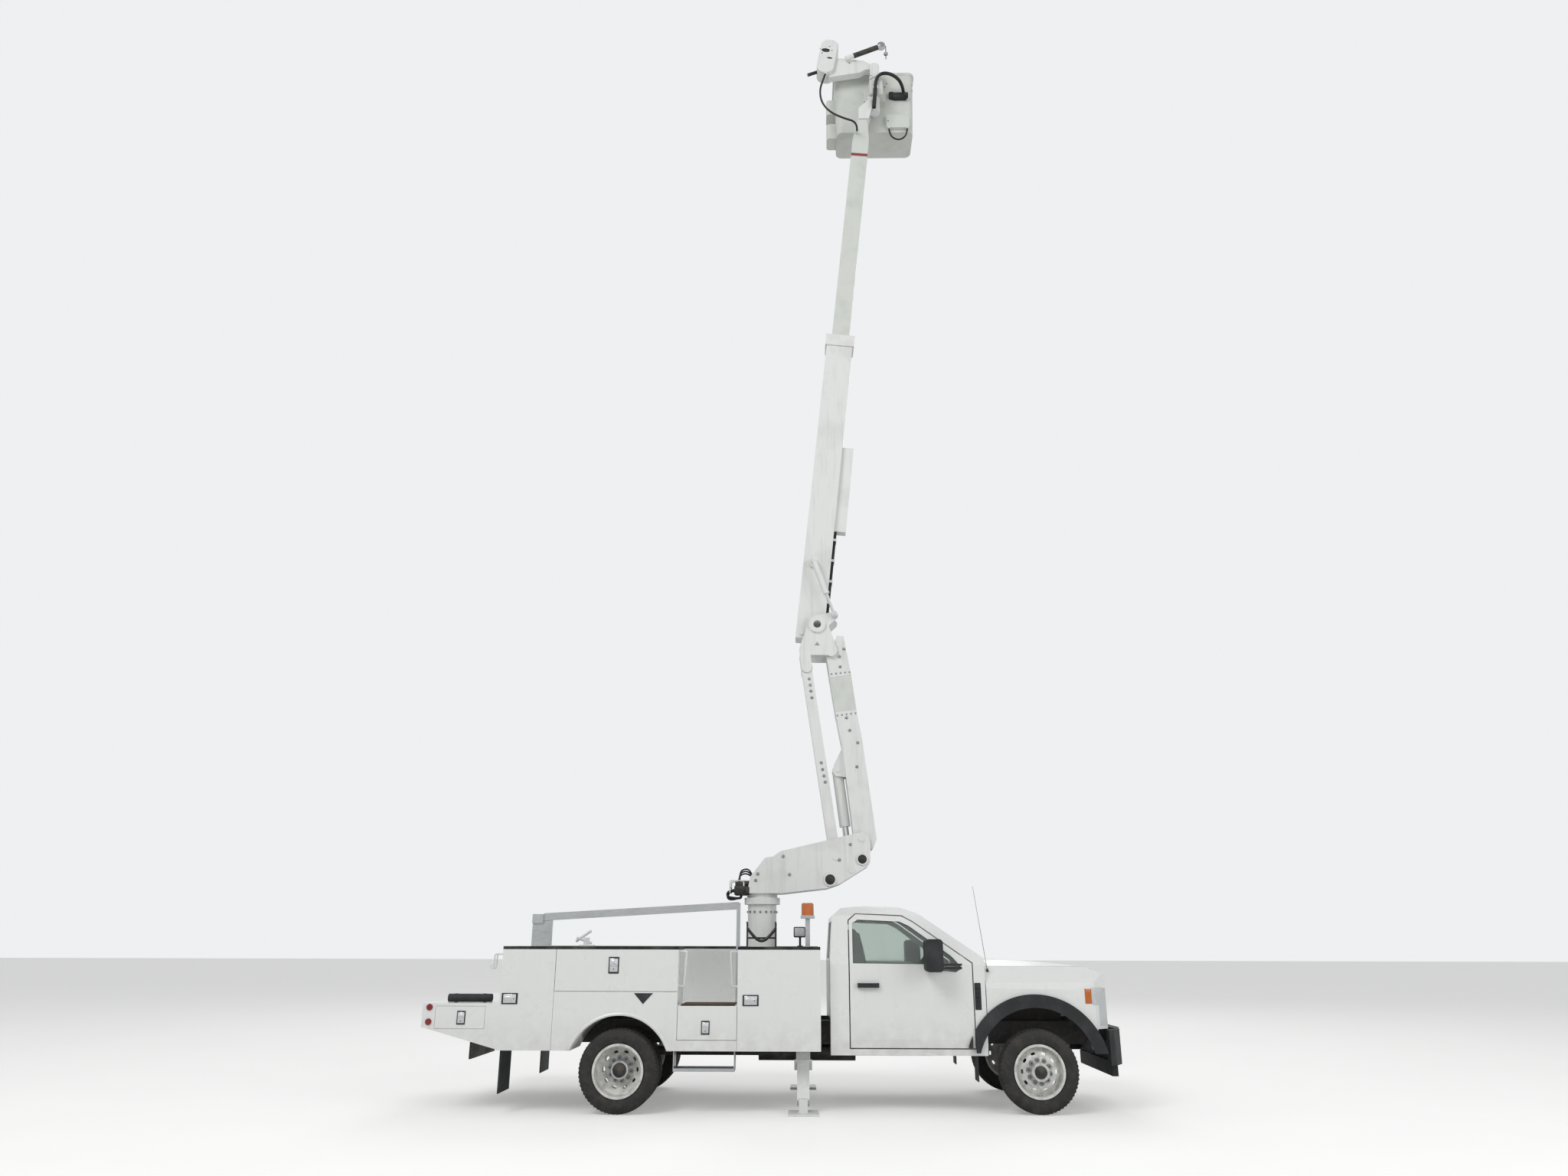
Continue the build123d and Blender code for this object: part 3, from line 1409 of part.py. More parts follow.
# Levelling bracket: two cheeks on the tip, a head block and the upright that turns the bucket
head_x = level_x + 170
bucket_top_z = bucket_floor_z + bucket_z
post_r = 70.0
jib_base = 750.0
with BuildPart() as tip_bracket:
    for cheek in (-1, 1):
        add(slab(
            [(level_x - 70, level_z - 60), (level_x - 70, level_z + 120), (shaft_x - 60, level_z + 330),
             (shaft_x - 60, level_z + 120), (level_x + 80, level_z - 60)],
            *sorted((cheek * (inner_half + 4), cheek * (inner_half + 18))),
        ))
    add(rod((level_x, level_z), pin_r, -inner_half - 18, inner_half + 18))
    add(block((shaft_x - 110, shaft_x - 60), (-inner_half - 18, inner_half + 18), (level_z + 130, level_z + 330)))
    add(block((shaft_x - 70, shaft_x), (-60, 60), (level_z + 150, level_z + 310)))
    with Locations(at(shaft_x, 0, level_z + 120)):
        Cylinder(post_r, 260, align=(Align.CENTER, Align.CENTER, Align.MIN))
    with Locations(at(shaft_x, 0, level_z + 380)):
        Cylinder(post_r - 20, jib_base - 380, align=(Align.CENTER, Align.CENTER, Align.MIN))

# Bucket: a tub with a rolled lip, carried by a bracket on a sleeve round the upright
bucket_mid_y = bucket_off
with BuildPart() as bucket_core:
    with BuildSketch(Plane(origin=at(shaft_x, bucket_mid_y, bucket_floor_z + bucket_wall), z_dir=(0, 0, 1))):
        RectangleRounded(bucket_x - 90 - 2 * bucket_wall, bucket_y - 50 - 2 * bucket_wall, 76)
    with BuildSketch(Plane(origin=at(shaft_x, bucket_mid_y, bucket_floor_z + bucket_z + 1), z_dir=(0, 0, 1))):
        RectangleRounded(bucket_x - 30 - 2 * bucket_wall, bucket_y - 10 - 2 * bucket_wall, 76)
    loft()
bucket_inside = bucket_core.part
step_levels = (bucket_floor_z + 30, bucket_floor_z + 470)
step_rear = shaft_x - bucket_x / 2 - 100
with BuildPart() as bucket:
    with BuildSketch(Plane(origin=at(shaft_x, bucket_mid_y, bucket_floor_z), z_dir=(0, 0, 1))):
        RectangleRounded(bucket_x - 90, bucket_y - 50, 90)
    with BuildSketch(Plane(origin=at(shaft_x, bucket_mid_y, bucket_floor_z + bucket_z), z_dir=(0, 0, 1))):
        RectangleRounded(bucket_x - 30, bucket_y - 10, 90)
    loft()
    with BuildSketch(Plane(origin=at(shaft_x, bucket_mid_y, bucket_floor_z + bucket_z - 40), z_dir=(0, 0, 1))):
        RectangleRounded(bucket_x, bucket_y, 100)
    extrude(amount=40)
    add(bucket_inside, mode=Mode.SUBTRACT)

bucket_near_y = bucket_mid_y - bucket_y / 2
sleeve_z = (level_z + 385, level_z + 640)
with BuildPart() as bucket_bracket:
    with Locations(at(shaft_x, 0, sleeve_z[0])):
        Cylinder(post_r + 20, sleeve_z[1] - sleeve_z[0], align=(Align.CENTER, Align.CENTER, Align.MIN))
    add(block((shaft_x - 160, shaft_x + 160), (60, bucket_near_y + 23), (sleeve_z[0] + 10, sleeve_z[1] - 50)))
    add(block((shaft_x - 85, shaft_x + 120), (-100, 61), sleeve_z))
    fillet(bucket_bracket.edges().filter_by(Axis.Z).group_by(Axis.Y)[0], 30)
    for end, before, radius in ferrules_bucket:
        add(ferrule(end, before, radius, 70))
    add(block((shaft_x - 40, shaft_x + 40), (-165, -90), (loop_start[2] - 50, loop_start[2] - 4)))
    add(bucket.part, mode=Mode.SUBTRACT)
    add(bucket_inside, mode=Mode.SUBTRACT)
    with Locations(at(shaft_x, 0, sleeve_z[0] - 1)):
        Cylinder(post_r - 20 + running, 400, mode=Mode.SUBTRACT, align=(Align.CENTER, Align.CENTER, Align.MIN))

# Valve cover on the near wall, and two moulded steps on the rear wall
with BuildPart() as bucket_trim:
    add(block((3155, 3495), (bucket_near_y - 30, bucket_near_y + 30), (13125, 13350)))
    fillet(bucket_trim.edges().filter_by(Axis.Y), 35)
with BuildPart() as bucket_steps:
    for step_z in step_levels:
        add(block((step_rear, step_rear + 150), (bucket_mid_y - 130, bucket_mid_y + 130), (step_z, step_z + 260)))
    fillet(bucket_steps.edges().filter_by(Axis.Z).group_by(Axis.X)[0], 45)

with BuildPart() as bucket_whole:
    add(bucket_trim.part)
    add(bucket_steps.part)
    add(bucket_inside, mode=Mode.SUBTRACT)
    add(bucket.part)
    add(bucket_bracket.part)
save(bucket_whole, "bucket")

# Jib: head on the upright, arm box, winch at its rear and the pole with its sheave
jib_arm_half = 55.0
cheek_t = 14.0
jib_pivot = (shaft_x, level_z + jib_base + 154)
head_low = level_z + jib_base - 30
with BuildPart() as jib_head:
    with Locations(at(shaft_x, 0, head_low)):
        Cylinder(post_r + 10, 30, align=(Align.CENTER, Align.CENTER, Align.MIN))
    add(block((shaft_x - 70, shaft_x + 70), (-jib_arm_half - 11 - cheek_t, jib_arm_half + 11 + cheek_t), (head_low + 30, head_low + 60)))
    for cheek in (-1, 1):
        cheek_span = sorted((cheek * (jib_arm_half + 11), cheek * (jib_arm_half + 11 + cheek_t)))
        add(block((shaft_x - 70, shaft_x + 70), cheek_span, (head_low + 30, jib_pivot[1])))
        add(rod(jib_pivot, 70, *cheek_span))
    add(rod(jib_pivot, 20, -jib_arm_half - 25, jib_arm_half + 25))

with BuildPart() as platform_post:
    add(tip_bracket.part)
    add(jib_head.part)
save(platform_post, "platform_post")

pole_y = -100.0
pole_end = (3090.0, 14420.0)
pole_foot = (2560.0, 14190.0)
pole_r = 34.0
sheave_r = 60.0
winch_mid = (2290.0, 14240.0)
winch_half = 120.0
with BuildPart() as jib_arm:
    add(slab([
        (2300, 13895), (2430, 14230), (2480, 14245), (2830, 14190), (2960, 14110), (3005, 14080), (3005, 14035),
        (2850, 14032), (2785, 13990), (2760, 13975),
    ], -jib_arm_half, jib_arm_half))
    fillet(jib_arm.edges().filter_by(Axis.Y).group_by(Axis.Z)[-1], 40)
    add(rod(jib_pivot, 20 + running, -80, 80), mode=Mode.SUBTRACT)

with BuildPart() as winch:
    with BuildSketch(side(winch_half)):
        with Locations(Location((*winch_mid, 0), (0, 0, -10))):
            RectangleRounded(262, 610, 118)
    extrude(amount=2 * winch_half)
    fillet(winch.edges().group_by(Axis.Y)[0], 22)
    add(strut((1985, 13985), (2240, 14085), 22, 0))

with BuildPart() as jib_pole:
    add(strut(pole_foot, pole_end, pole_r, pole_y))
    add(rod(pole_end, sheave_r, pole_y - 25, pole_y + 25))
    add(block((2560, 2680), (pole_y, -jib_arm_half + 1), (14178, 14214)))

with BuildPart() as jib:
    add(jib_arm.part)
    add(winch.part)
    add(jib_pole.part)
    add(ferrule(hose_route[0], hose_route[1], hose_ferrule_r, 60))
save(jib, "jib")

line_r = 8.0
hook_x = pole_end[0] + sheave_r + line_r + 0.3
hook_low = bucket_top_z + 30
with BuildPart() as winch_hook:
    with Locations(at(hook_x, pole_y, hook_low)):
        Cylinder(line_r, pole_end[1] - hook_low, align=(Align.CENTER, Align.CENTER, Align.MIN))
    with Locations(at(hook_x, pole_y, hook_low + 90)):
        Sphere(32)
save(winch_hook, "winch_hook")

# Free hoses: winch supply, controls loop and tool line
for label, route, radius in (
    ("winch_hose", hose_route, hose_rad),
    ("control_hose", loop_route, loop_rad),
    ("tool_hose", tool_route, tool_rad),
):
    save(free_hose(route, radius, label), label)
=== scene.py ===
"""Finish for a cherry picker truck: paint, rubber, glass, hardware and hoses over its fixed frame."""

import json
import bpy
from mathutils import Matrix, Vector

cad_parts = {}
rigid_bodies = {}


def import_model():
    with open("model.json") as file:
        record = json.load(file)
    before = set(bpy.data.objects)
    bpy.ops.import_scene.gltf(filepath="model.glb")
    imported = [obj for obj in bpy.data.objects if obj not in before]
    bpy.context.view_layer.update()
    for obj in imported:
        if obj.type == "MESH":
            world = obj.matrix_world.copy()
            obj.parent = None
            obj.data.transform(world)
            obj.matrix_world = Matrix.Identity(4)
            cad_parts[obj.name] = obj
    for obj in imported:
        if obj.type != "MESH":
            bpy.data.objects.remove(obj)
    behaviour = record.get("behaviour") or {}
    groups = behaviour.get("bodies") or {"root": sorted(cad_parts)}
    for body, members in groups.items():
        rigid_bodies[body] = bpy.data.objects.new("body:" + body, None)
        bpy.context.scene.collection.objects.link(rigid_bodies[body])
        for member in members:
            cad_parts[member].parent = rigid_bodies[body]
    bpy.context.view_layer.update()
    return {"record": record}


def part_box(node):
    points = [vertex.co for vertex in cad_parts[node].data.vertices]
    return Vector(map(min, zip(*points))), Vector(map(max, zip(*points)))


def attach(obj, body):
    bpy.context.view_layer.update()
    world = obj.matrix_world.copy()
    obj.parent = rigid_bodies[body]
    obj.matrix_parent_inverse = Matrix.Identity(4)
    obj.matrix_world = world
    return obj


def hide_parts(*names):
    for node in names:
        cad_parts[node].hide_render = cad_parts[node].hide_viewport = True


bl_info = {
    "name": "Cherry Picker Truck Finish",
    "version": (1, 0, 0),
    "blender": (4, 5, 0),
    "location": "View3D > Sidebar > Truck",
    "description": "Dresses the packed truck with its finishes, hardware, tyres, hoses and lamps",
    "category": "Object",
}

from math import cos, pi, radians, sin

import bmesh
import bpy
from mathutils import Matrix, Vector
from mathutils.bvhtree import BVHTree

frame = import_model()


def middle(node):
    """Middle of a node's box."""
    low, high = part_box(node)
    return (Vector(low) + Vector(high)) / 2


AXLE_X = middle("wheels_rear_right").x
HUB_Z = middle("wheels_rear_right").z
WHEELS = (
    ("wheel_front_left", "front_wheel_left"),
    ("wheel_front_right", "front_wheel_right"),
    ("wheels_rear_left", "rear_wheels_left"),
    ("wheels_rear_right", "rear_wheels_right"),
)
BOOM_LEAN = radians(5.95)
BOOM_PIVOT = (2071, 0, 5390)
POLE_FOOT = (2560, -100, 14190)
POLE_END = (3090, -100, 14420)
PEDESTAL_X = 1562


def spot(x, y, z):
    """A point given in millimetres, X forward from the rear axle."""
    return Vector((AXLE_X + x / 1000, y / 1000, z / 1000))


# Colour and node helpers


def linear(code, alpha=1.0):
    """sRGB hex colour as linear values."""
    parts = [int(code[i : i + 2], 16) / 255 for i in (1, 3, 5)]
    return tuple(p / 12.92 if p <= 0.04045 else ((p + 0.055) / 1.055) ** 2.4 for p in parts) + (alpha,)


def add_node(tree, kind, sockets=None, links=None, **settings):
    """One node with its settings, its socket values and its links."""
    node = tree.nodes.new(kind)
    for name, value in settings.items():
        setattr(node, name, value)
    for name, value in (sockets or {}).items():
        node.inputs[name].default_value = value
    for name, source in (links or {}).items():
        tree.links.new(source, node.inputs[name])
    return node


def blank_material(name):
    """A material with its shader, its output and object coordinates, ready for patterns."""
    material = bpy.data.materials.new(name)
    material.use_nodes = True
    tree = material.node_tree
    tree.nodes.clear()
    shader = add_node(tree, "ShaderNodeBsdfPrincipled")
    add_node(tree, "ShaderNodeOutputMaterial", links={"Surface": shader.outputs[0]})
    coords = add_node(tree, "ShaderNodeTexCoord").outputs["Object"]
    return material, tree, shader, coords


def noise(tree, coords, size, detail=3.0, rough=0.55, stretch=(1, 1, 1)):
    """Noise whose blotches are about a size in metres."""
    mapped = add_node(tree, "ShaderNodeMapping", {"Scale": stretch}, {"Vector": coords})
    return add_node(
        tree,
        "ShaderNodeTexNoise",
        {"Scale": 1 / size, "Detail": detail, "Roughness": rough},
        {"Vector": mapped.outputs[0]},
    ).outputs["Fac"]


def spread(tree, value, low, high, out_low=0.0, out_high=1.0):
    """Stretches part of a pattern's range over another range."""
    return add_node(
        tree,
        "ShaderNodeMapRange",
        {"From Min": low, "From Max": high, "To Min": out_low, "To Max": out_high},
        {"Value": value},
    ).outputs[0]


def times(tree, a, b):
    return add_node(tree, "ShaderNodeMath", links={0: a, 1: b}, operation="MULTIPLY").outputs[0]


def blend_colours(tree, factor, a, b):
    """Mixes two colours, each a hex code or a socket."""
    mix = add_node(tree, "ShaderNodeMix", data_type="RGBA")
    tree.links.new(factor, mix.inputs["Factor"])
    for socket, colour in ((mix.inputs[6], a), (mix.inputs[7], b)):
        if isinstance(colour, str):
            socket.default_value = linear(colour)
        else:
            tree.links.new(colour, socket)
    return mix.outputs[2]


def bump(tree, shader, height, depth, strength=0.6):
    node = add_node(tree, "ShaderNodeBump", {"Strength": strength, "Distance": depth}, {"Height": height})
    tree.links.new(node.outputs[0], shader.inputs["Normal"])
    return node


def road_film(tree, coords, top, colour, dirt):
    """Road film that fades out upward from the sills, broken by noise."""
    split = add_node(tree, "ShaderNodeSeparateXYZ", links={"Vector": coords})
    height = spread(tree, split.outputs["Z"], 0.35, top, 1.0, 0.0)
    patches = spread(tree, noise(tree, coords, 0.12, 5.0), 0.35, 0.75, 0.0, 0.7)
    return blend_colours(tree, times(tree, height, patches), colour, dirt)


# Materials. Each is named for its real finish.


def body_enamel(colour):
    """Sprayed white polyurethane enamel: a clear gloss, faint orange peel, road film low down."""
    material, tree, shader, coords = blank_material("sprayed_white_enamel")
    streaks = spread(tree, noise(tree, coords, 0.05, 4.0, 0.6, (1, 1, 0.12)), 0.55, 0.85, 0.0, 0.2)
    aged = blend_colours(tree, streaks, colour, "#CFCFCA")
    tree.links.new(road_film(tree, coords, 0.95, aged, "#B4AFA3"), shader.inputs["Base Color"])
    gloss = spread(tree, noise(tree, coords, 0.3, 4.0), 0.3, 0.7, 0.22, 0.42)
    tree.links.new(gloss, shader.inputs["Roughness"])
    bump(tree, shader, noise(tree, coords, 0.006, 1.0), 0.0002, 0.25)
    shader.inputs["Coat Weight"].default_value = 0.35
    shader.inputs["Coat Roughness"].default_value = 0.12
    return material


def arm_enamel(colour):
    """Brushed and sprayed white alkyd on welded steel: duller, with rain streaks and soot in corners."""
    material, tree, shader, coords = blank_material("white_alkyd_on_steel")
    streaks = spread(tree, noise(tree, coords, 0.06, 5.0, 0.65, (1, 1, 0.08)), 0.5, 0.78, 0.0, 0.5)
    soot = spread(tree, noise(tree, coords, 0.5, 6.0), 0.55, 0.85, 0.0, 0.4)
    aged = blend_colours(tree, streaks, colour, "#BFC1BE")
    tree.links.new(blend_colours(tree, soot, aged, "#A9A79E"), shader.inputs["Base Color"])
    tree.links.new(spread(tree, noise(tree, coords, 0.2), 0.3, 0.7, 0.34, 0.55), shader.inputs["Roughness"])
    bump(tree, shader, noise(tree, coords, 0.009, 2.0), 0.0004, 0.35)
    return material


def gelcoat(colour):
    """Gelcoated glass fibre: slightly green-grey, satin, with the lay of the mat showing faintly."""
    material, tree, shader, coords = blank_material("glass_fibre_gelcoat")
    fibres = noise(tree, coords, 0.004, 2.0, 0.5, (1, 1, 0.2))
    aged = blend_colours(
        tree,
        spread(tree, noise(tree, coords, 0.25, 5.0), 0.45, 0.8, 0.0, 0.6),
        colour,
        "#B9BCB5",
    )
    tree.links.new(
        blend_colours(tree, spread(tree, fibres, 0.4, 0.7, 0.0, 0.12), aged, "#9AA099"),
        shader.inputs["Base Color"],
    )
    tree.links.new(spread(tree, noise(tree, coords, 0.15), 0.3, 0.7, 0.3, 0.5), shader.inputs["Roughness"])
    bump(tree, shader, fibres, 0.0004, 0.3)
    return material


def moulded_black(colour):
    """Moulded black polypropylene: leather grain about 2 mm across, greyed on top by sun."""
    material, tree, shader, coords = blank_material("moulded_black_polypropylene")
    grain = add_node(tree, "ShaderNodeTexVoronoi", {"Scale": 420.0}, {"Vector": coords}).outputs["Distance"]
    faded = blend_colours(
        tree,
        spread(tree, noise(tree, coords, 0.18, 4.0), 0.4, 0.75, 0.0, 0.7),
        colour,
        "#3B3C3E",
    )
    tree.links.new(faded, shader.inputs["Base Color"])
    tree.links.new(spread(tree, grain, 0.1, 0.6, 0.5, 0.72), shader.inputs["Roughness"])
    bump(tree, shader, grain, 0.0006, 0.4)
    return material


def chassis_black(colour):
    """Chassis black over rolled steel: satin, with pale mud and a little rust."""
    material, tree, shader, coords = blank_material("satin_chassis_black")
    mud = spread(tree, noise(tree, coords, 0.14, 6.0, 0.65), 0.48, 0.8, 0.0, 0.8)
    rust = spread(tree, noise(tree, coords, 0.035, 5.0, 0.7), 0.66, 0.74)
    dusty = blend_colours(tree, mud, colour, "#6A645A")
    tree.links.new(blend_colours(tree, rust, dusty, "#5A3A26"), shader.inputs["Base Color"])
    tree.links.new(spread(tree, mud, 0.0, 0.8, 0.45, 0.85), shader.inputs["Roughness"])
    bump(tree, shader, noise(tree, coords, 0.01, 4.0), 0.0008, 0.4)
    return material


def grip_surface(colour):
    """Black grit-coated tread: coarse grit drawn at 6 mm so that it shows."""
    material, tree, shader, coords = blank_material("black_grit_tread")
    grit = add_node(tree, "ShaderNodeTexVoronoi", {"Scale": 160.0}, {"Vector": coords}).outputs["Distance"]
    worn = spread(tree, noise(tree, coords, 0.22, 4.0), 0.45, 0.75, 0.0, 0.75)
    tree.links.new(blend_colours(tree, worn, colour, "#5B5A56"), shader.inputs["Base Color"])
    shader.inputs["Roughness"].default_value = 0.88
    bump(tree, shader, grit, 0.002, 0.7)
    return material


def bare_aluminium(colour):
    """Mill-finish aluminium: drawn lines along its length, dull oxide in blotches."""
    material, tree, shader, coords = blank_material("mill_finish_aluminium")
    lines = noise(tree, coords, 0.004, 2.0, 0.5, (0.05, 1, 1))
    tree.links.new(
        blend_colours(tree, spread(tree, lines, 0.3, 0.7, 0.0, 0.5), colour, "#8F9293"),
        shader.inputs["Base Color"],
    )
    shader.inputs["Metallic"].default_value = 1.0
    tree.links.new(spread(tree, noise(tree, coords, 0.08), 0.3, 0.7, 0.28, 0.5), shader.inputs["Roughness"])
    bump(tree, shader, lines, 0.0002, 0.3)
    return material


def hard_chrome(colour):
    """Ground hard chrome on cylinder rods and latches: mirror bright, with an oil film."""
    material, tree, shader, coords = blank_material("ground_hard_chrome")
    oil = spread(tree, noise(tree, coords, 0.05, 3.0), 0.4, 0.75, 0.08, 0.24)
    tree.links.new(oil, shader.inputs["Roughness"])
    tree.links.new(blend_colours(tree, oil, colour, "#A8ACAF"), shader.inputs["Base Color"])
    shader.inputs["Metallic"].default_value = 1.0
    return material


def wheel_enamel(colour):
    """White powder coat on pressed steel discs: brake dust toward the rim, chips gone brown."""
    material, tree, shader, coords = blank_material("white_powder_coat")
    dust = spread(tree, noise(tree, coords, 0.06, 5.0), 0.42, 0.78, 0.0, 0.75)
    chips = spread(tree, noise(tree, coords, 0.012, 3.0, 0.7), 0.7, 0.74)
    dull = blend_colours(tree, dust, colour, "#8E8A80")
    tree.links.new(blend_colours(tree, chips, dull, "#6B4A33"), shader.inputs["Base Color"])
    tree.links.new(spread(tree, dust, 0.0, 0.75, 0.35, 0.65), shader.inputs["Roughness"])
    bump(tree, shader, noise(tree, coords, 0.008, 2.0), 0.0004, 0.3)
    return material


def tyre_rubber(colour):
    """Vulcanised tyre rubber: matt, with pale dust caught low on the sidewall."""
    material, tree, shader, coords = blank_material("vulcanised_tyre_rubber")
    dust = spread(tree, noise(tree, coords, 0.09, 5.0, 0.65), 0.45, 0.8, 0.0, 0.6)
    tree.links.new(blend_colours(tree, dust, colour, "#57534B"), shader.inputs["Base Color"])
    tree.links.new(spread(tree, dust, 0.0, 0.6, 0.68, 0.9), shader.inputs["Roughness"])
    bump(tree, shader, noise(tree, coords, 0.005, 2.0), 0.0005, 0.35)
    return material


def hose_rubber(colour):
    """Braid-wrapped hose cover: a woven sleeve drawn at 5 mm pitch, matt black with grey scuffs."""
    material, tree, shader, coords = blank_material("braided_hose_cover")
    weave = add_node(
        tree,
        "ShaderNodeTexWave",
        {"Scale": 62.0, "Distortion": 0.6, "Detail": 1.0},
        {"Vector": coords},
        bands_direction="DIAGONAL",
    ).outputs["Fac"]
    scuffs = spread(tree, noise(tree, coords, 0.05, 4.0), 0.5, 0.8, 0.0, 0.7)
    tree.links.new(blend_colours(tree, scuffs, colour, "#3C3D3F"), shader.inputs["Base Color"])
    tree.links.new(spread(tree, weave, 0.0, 1.0, 0.55, 0.8), shader.inputs["Roughness"])
    bump(tree, shader, weave, 0.0015, 0.6)
    return material


def tinted_glass(colour):
    """Toughened float glass: a faint green-grey tint, wiped in arcs, dusty at the edges."""
    material, tree, shader, coords = blank_material("toughened_tinted_glass")
    shader.inputs["Base Color"].default_value = linear(colour)
    shader.inputs["Transmission Weight"].default_value = 0.92
    shader.inputs["IOR"].default_value = 1.45
    tree.links.new(
        spread(tree, noise(tree, coords, 0.3, 4.0), 0.4, 0.8, 0.015, 0.09),
        shader.inputs["Roughness"],
    )
    return material


def lamp_lens(clear, red, amber):
    """Moulded polycarbonate lenses: clear in front, red behind, amber high up, fluted every 12 mm."""
    material, tree, shader, coords = blank_material("fluted_polycarbonate_lens")
    split = add_node(tree, "ShaderNodeSeparateXYZ", links={"Vector": coords})
    behind = add_node(
        tree,
        "ShaderNodeMath",
        {1: -2.5},
        {0: split.outputs["X"]},
        operation="LESS_THAN",
    ).outputs[0]
    high = add_node(
        tree,
        "ShaderNodeMath",
        {1: 1.7},
        {0: split.outputs["Z"]},
        operation="GREATER_THAN",
    ).outputs[0]
    tint = blend_colours(tree, high, blend_colours(tree, behind, clear, red), amber)
    tree.links.new(tint, shader.inputs["Base Color"])
    flutes = add_node(tree, "ShaderNodeTexWave", {"Scale": 26.0}, {"Vector": coords}, bands_direction="Y").outputs["Fac"]
    bump(tree, shader, flutes, 0.002, 0.5)
    shader.inputs["Roughness"].default_value = 0.1
    shader.inputs["Transmission Weight"].default_value = 0.35
    shader.inputs["Coat Weight"].default_value = 0.6
    return material


def dyed_lens(name, colour):
    """Small moulded lens of one colour, with a light diamond pattern at 8 mm."""
    material, tree, shader, coords = blank_material(name)
    cells = add_node(tree, "ShaderNodeTexVoronoi", {"Scale": 120.0}, {"Vector": coords}).outputs["Distance"]
    tree.links.new(
        blend_colours(tree, spread(tree, cells, 0.1, 0.6, 0.0, 0.35), colour, "#2A1408"),
        shader.inputs["Base Color"],
    )
    shader.inputs["Roughness"].default_value = 0.15
    shader.inputs["Coat Weight"].default_value = 0.7
    bump(tree, shader, cells, 0.001, 0.5)
    return material


def grained_vinyl(colour):
    """Grained seat vinyl over foam: a 3 mm grain and a soft sheen."""
    material, tree, shader, coords = blank_material("grained_seat_vinyl")
    grain = add_node(tree, "ShaderNodeTexVoronoi", {"Scale": 330.0}, {"Vector": coords}).outputs["Distance"]
    worn = spread(tree, noise(tree, coords, 0.12, 4.0), 0.45, 0.8, 0.0, 0.6)
    tree.links.new(blend_colours(tree, worn, colour, "#6B6B6D"), shader.inputs["Base Color"])
    shader.inputs["Roughness"].default_value = 0.55
    shader.inputs["Sheen Weight"].default_value = 0.15
    bump(tree, shader, grain, 0.0008, 0.5)
    return material


def zinc_steel(colour):
    """Zinc-plated steel fasteners and rope: grey, with dull white bloom."""
    material, tree, shader, coords = blank_material("zinc_plated_steel")
    bloom = spread(tree, noise(tree, coords, 0.015, 4.0), 0.4, 0.75)
    tree.links.new(blend_colours(tree, bloom, colour, "#B9BBB8"), shader.inputs["Base Color"])
    tree.links.new(spread(tree, bloom, 0.0, 1.0, 0.3, 0.6), shader.inputs["Roughness"])
    shader.inputs["Metallic"].default_value = 0.9
    return material


def cast_iron(colour):
    """Sand-cast iron: dark, coarse, oily in patches."""
    material, tree, shader, coords = blank_material("sand_cast_iron")
    oil = spread(tree, noise(tree, coords, 0.12, 5.0), 0.4, 0.75)
    tree.links.new(blend_colours(tree, oil, colour, "#2A2622"), shader.inputs["Base Color"])
    tree.links.new(spread(tree, oil, 0.0, 1.0, 0.75, 0.4), shader.inputs["Roughness"])
    shader.inputs["Metallic"].default_value = 0.5
    bump(tree, shader, noise(tree, coords, 0.004, 4.0), 0.001, 0.6)
    return material


def coir_mat(colour):
    """Worn coir matting: brown tufts drawn at 12 mm, grey with dust where it is walked on."""
    material, tree, shader, coords = blank_material("worn_coir_mat")
    tufts = noise(tree, coords, 0.012, 4.0, 0.7)
    worn = blend_colours(
        tree,
        spread(tree, noise(tree, coords, 0.1, 4.0), 0.4, 0.75, 0.0, 0.7),
        colour,
        "#7A6B58",
    )
    tree.links.new(
        blend_colours(tree, spread(tree, tufts, 0.4, 0.65), "#2E2118", worn),
        shader.inputs["Base Color"],
    )
    shader.inputs["Roughness"].default_value = 0.95
    bump(tree, shader, tufts, 0.004, 0.8)
    return material


def studio_floor(colour):
    """Pale seamless floor paper with the least mottle."""
    material, tree, shader, coords = blank_material("pale_floor_paper")
    tree.links.new(
        blend_colours(
            tree,
            spread(tree, noise(tree, coords, 1.5, 2.0), 0.3, 0.7, 0.0, 0.15),
            colour,
            "#DADADA",
        ),
        shader.inputs["Base Color"],
    )
    shader.inputs["Roughness"].default_value = 0.9
    rays = add_node(tree, "ShaderNodeLightPath")
    glow = spread(tree, rays.outputs["Is Camera Ray"], 0.0, 1.0, 0.0, 0.3)
    tree.links.new(glow, shader.inputs["Emission Strength"])
    shader.inputs["Emission Color"].default_value = linear(colour)
    return material


# Mesh helpers. Each adds one closed form to a bmesh, outward facing.


def add_box(bm, low, high, round_by=0.0, turn=None, steps=2):
    """Box between two corners with rounded edges."""
    low, high = Vector(low), Vector(high)
    size = Vector([abs(h - l) for l, h in zip(low, high)])
    spin = turn if turn is not None else Matrix.Identity(3)
    place = Matrix.Translation((low + high) / 2) @ spin.to_4x4() @ Matrix.Diagonal((*size, 1))
    made = bmesh.ops.create_cube(bm, size=1.0, matrix=place)["verts"]
    if round_by:
        edges = list({edge for vert in made for edge in vert.link_edges})
        bmesh.ops.bevel(
            bm,
            geom=edges,
            offset=round_by,
            segments=steps,
            profile=0.5,
            affect="EDGES",
            clamp_overlap=True,
        )


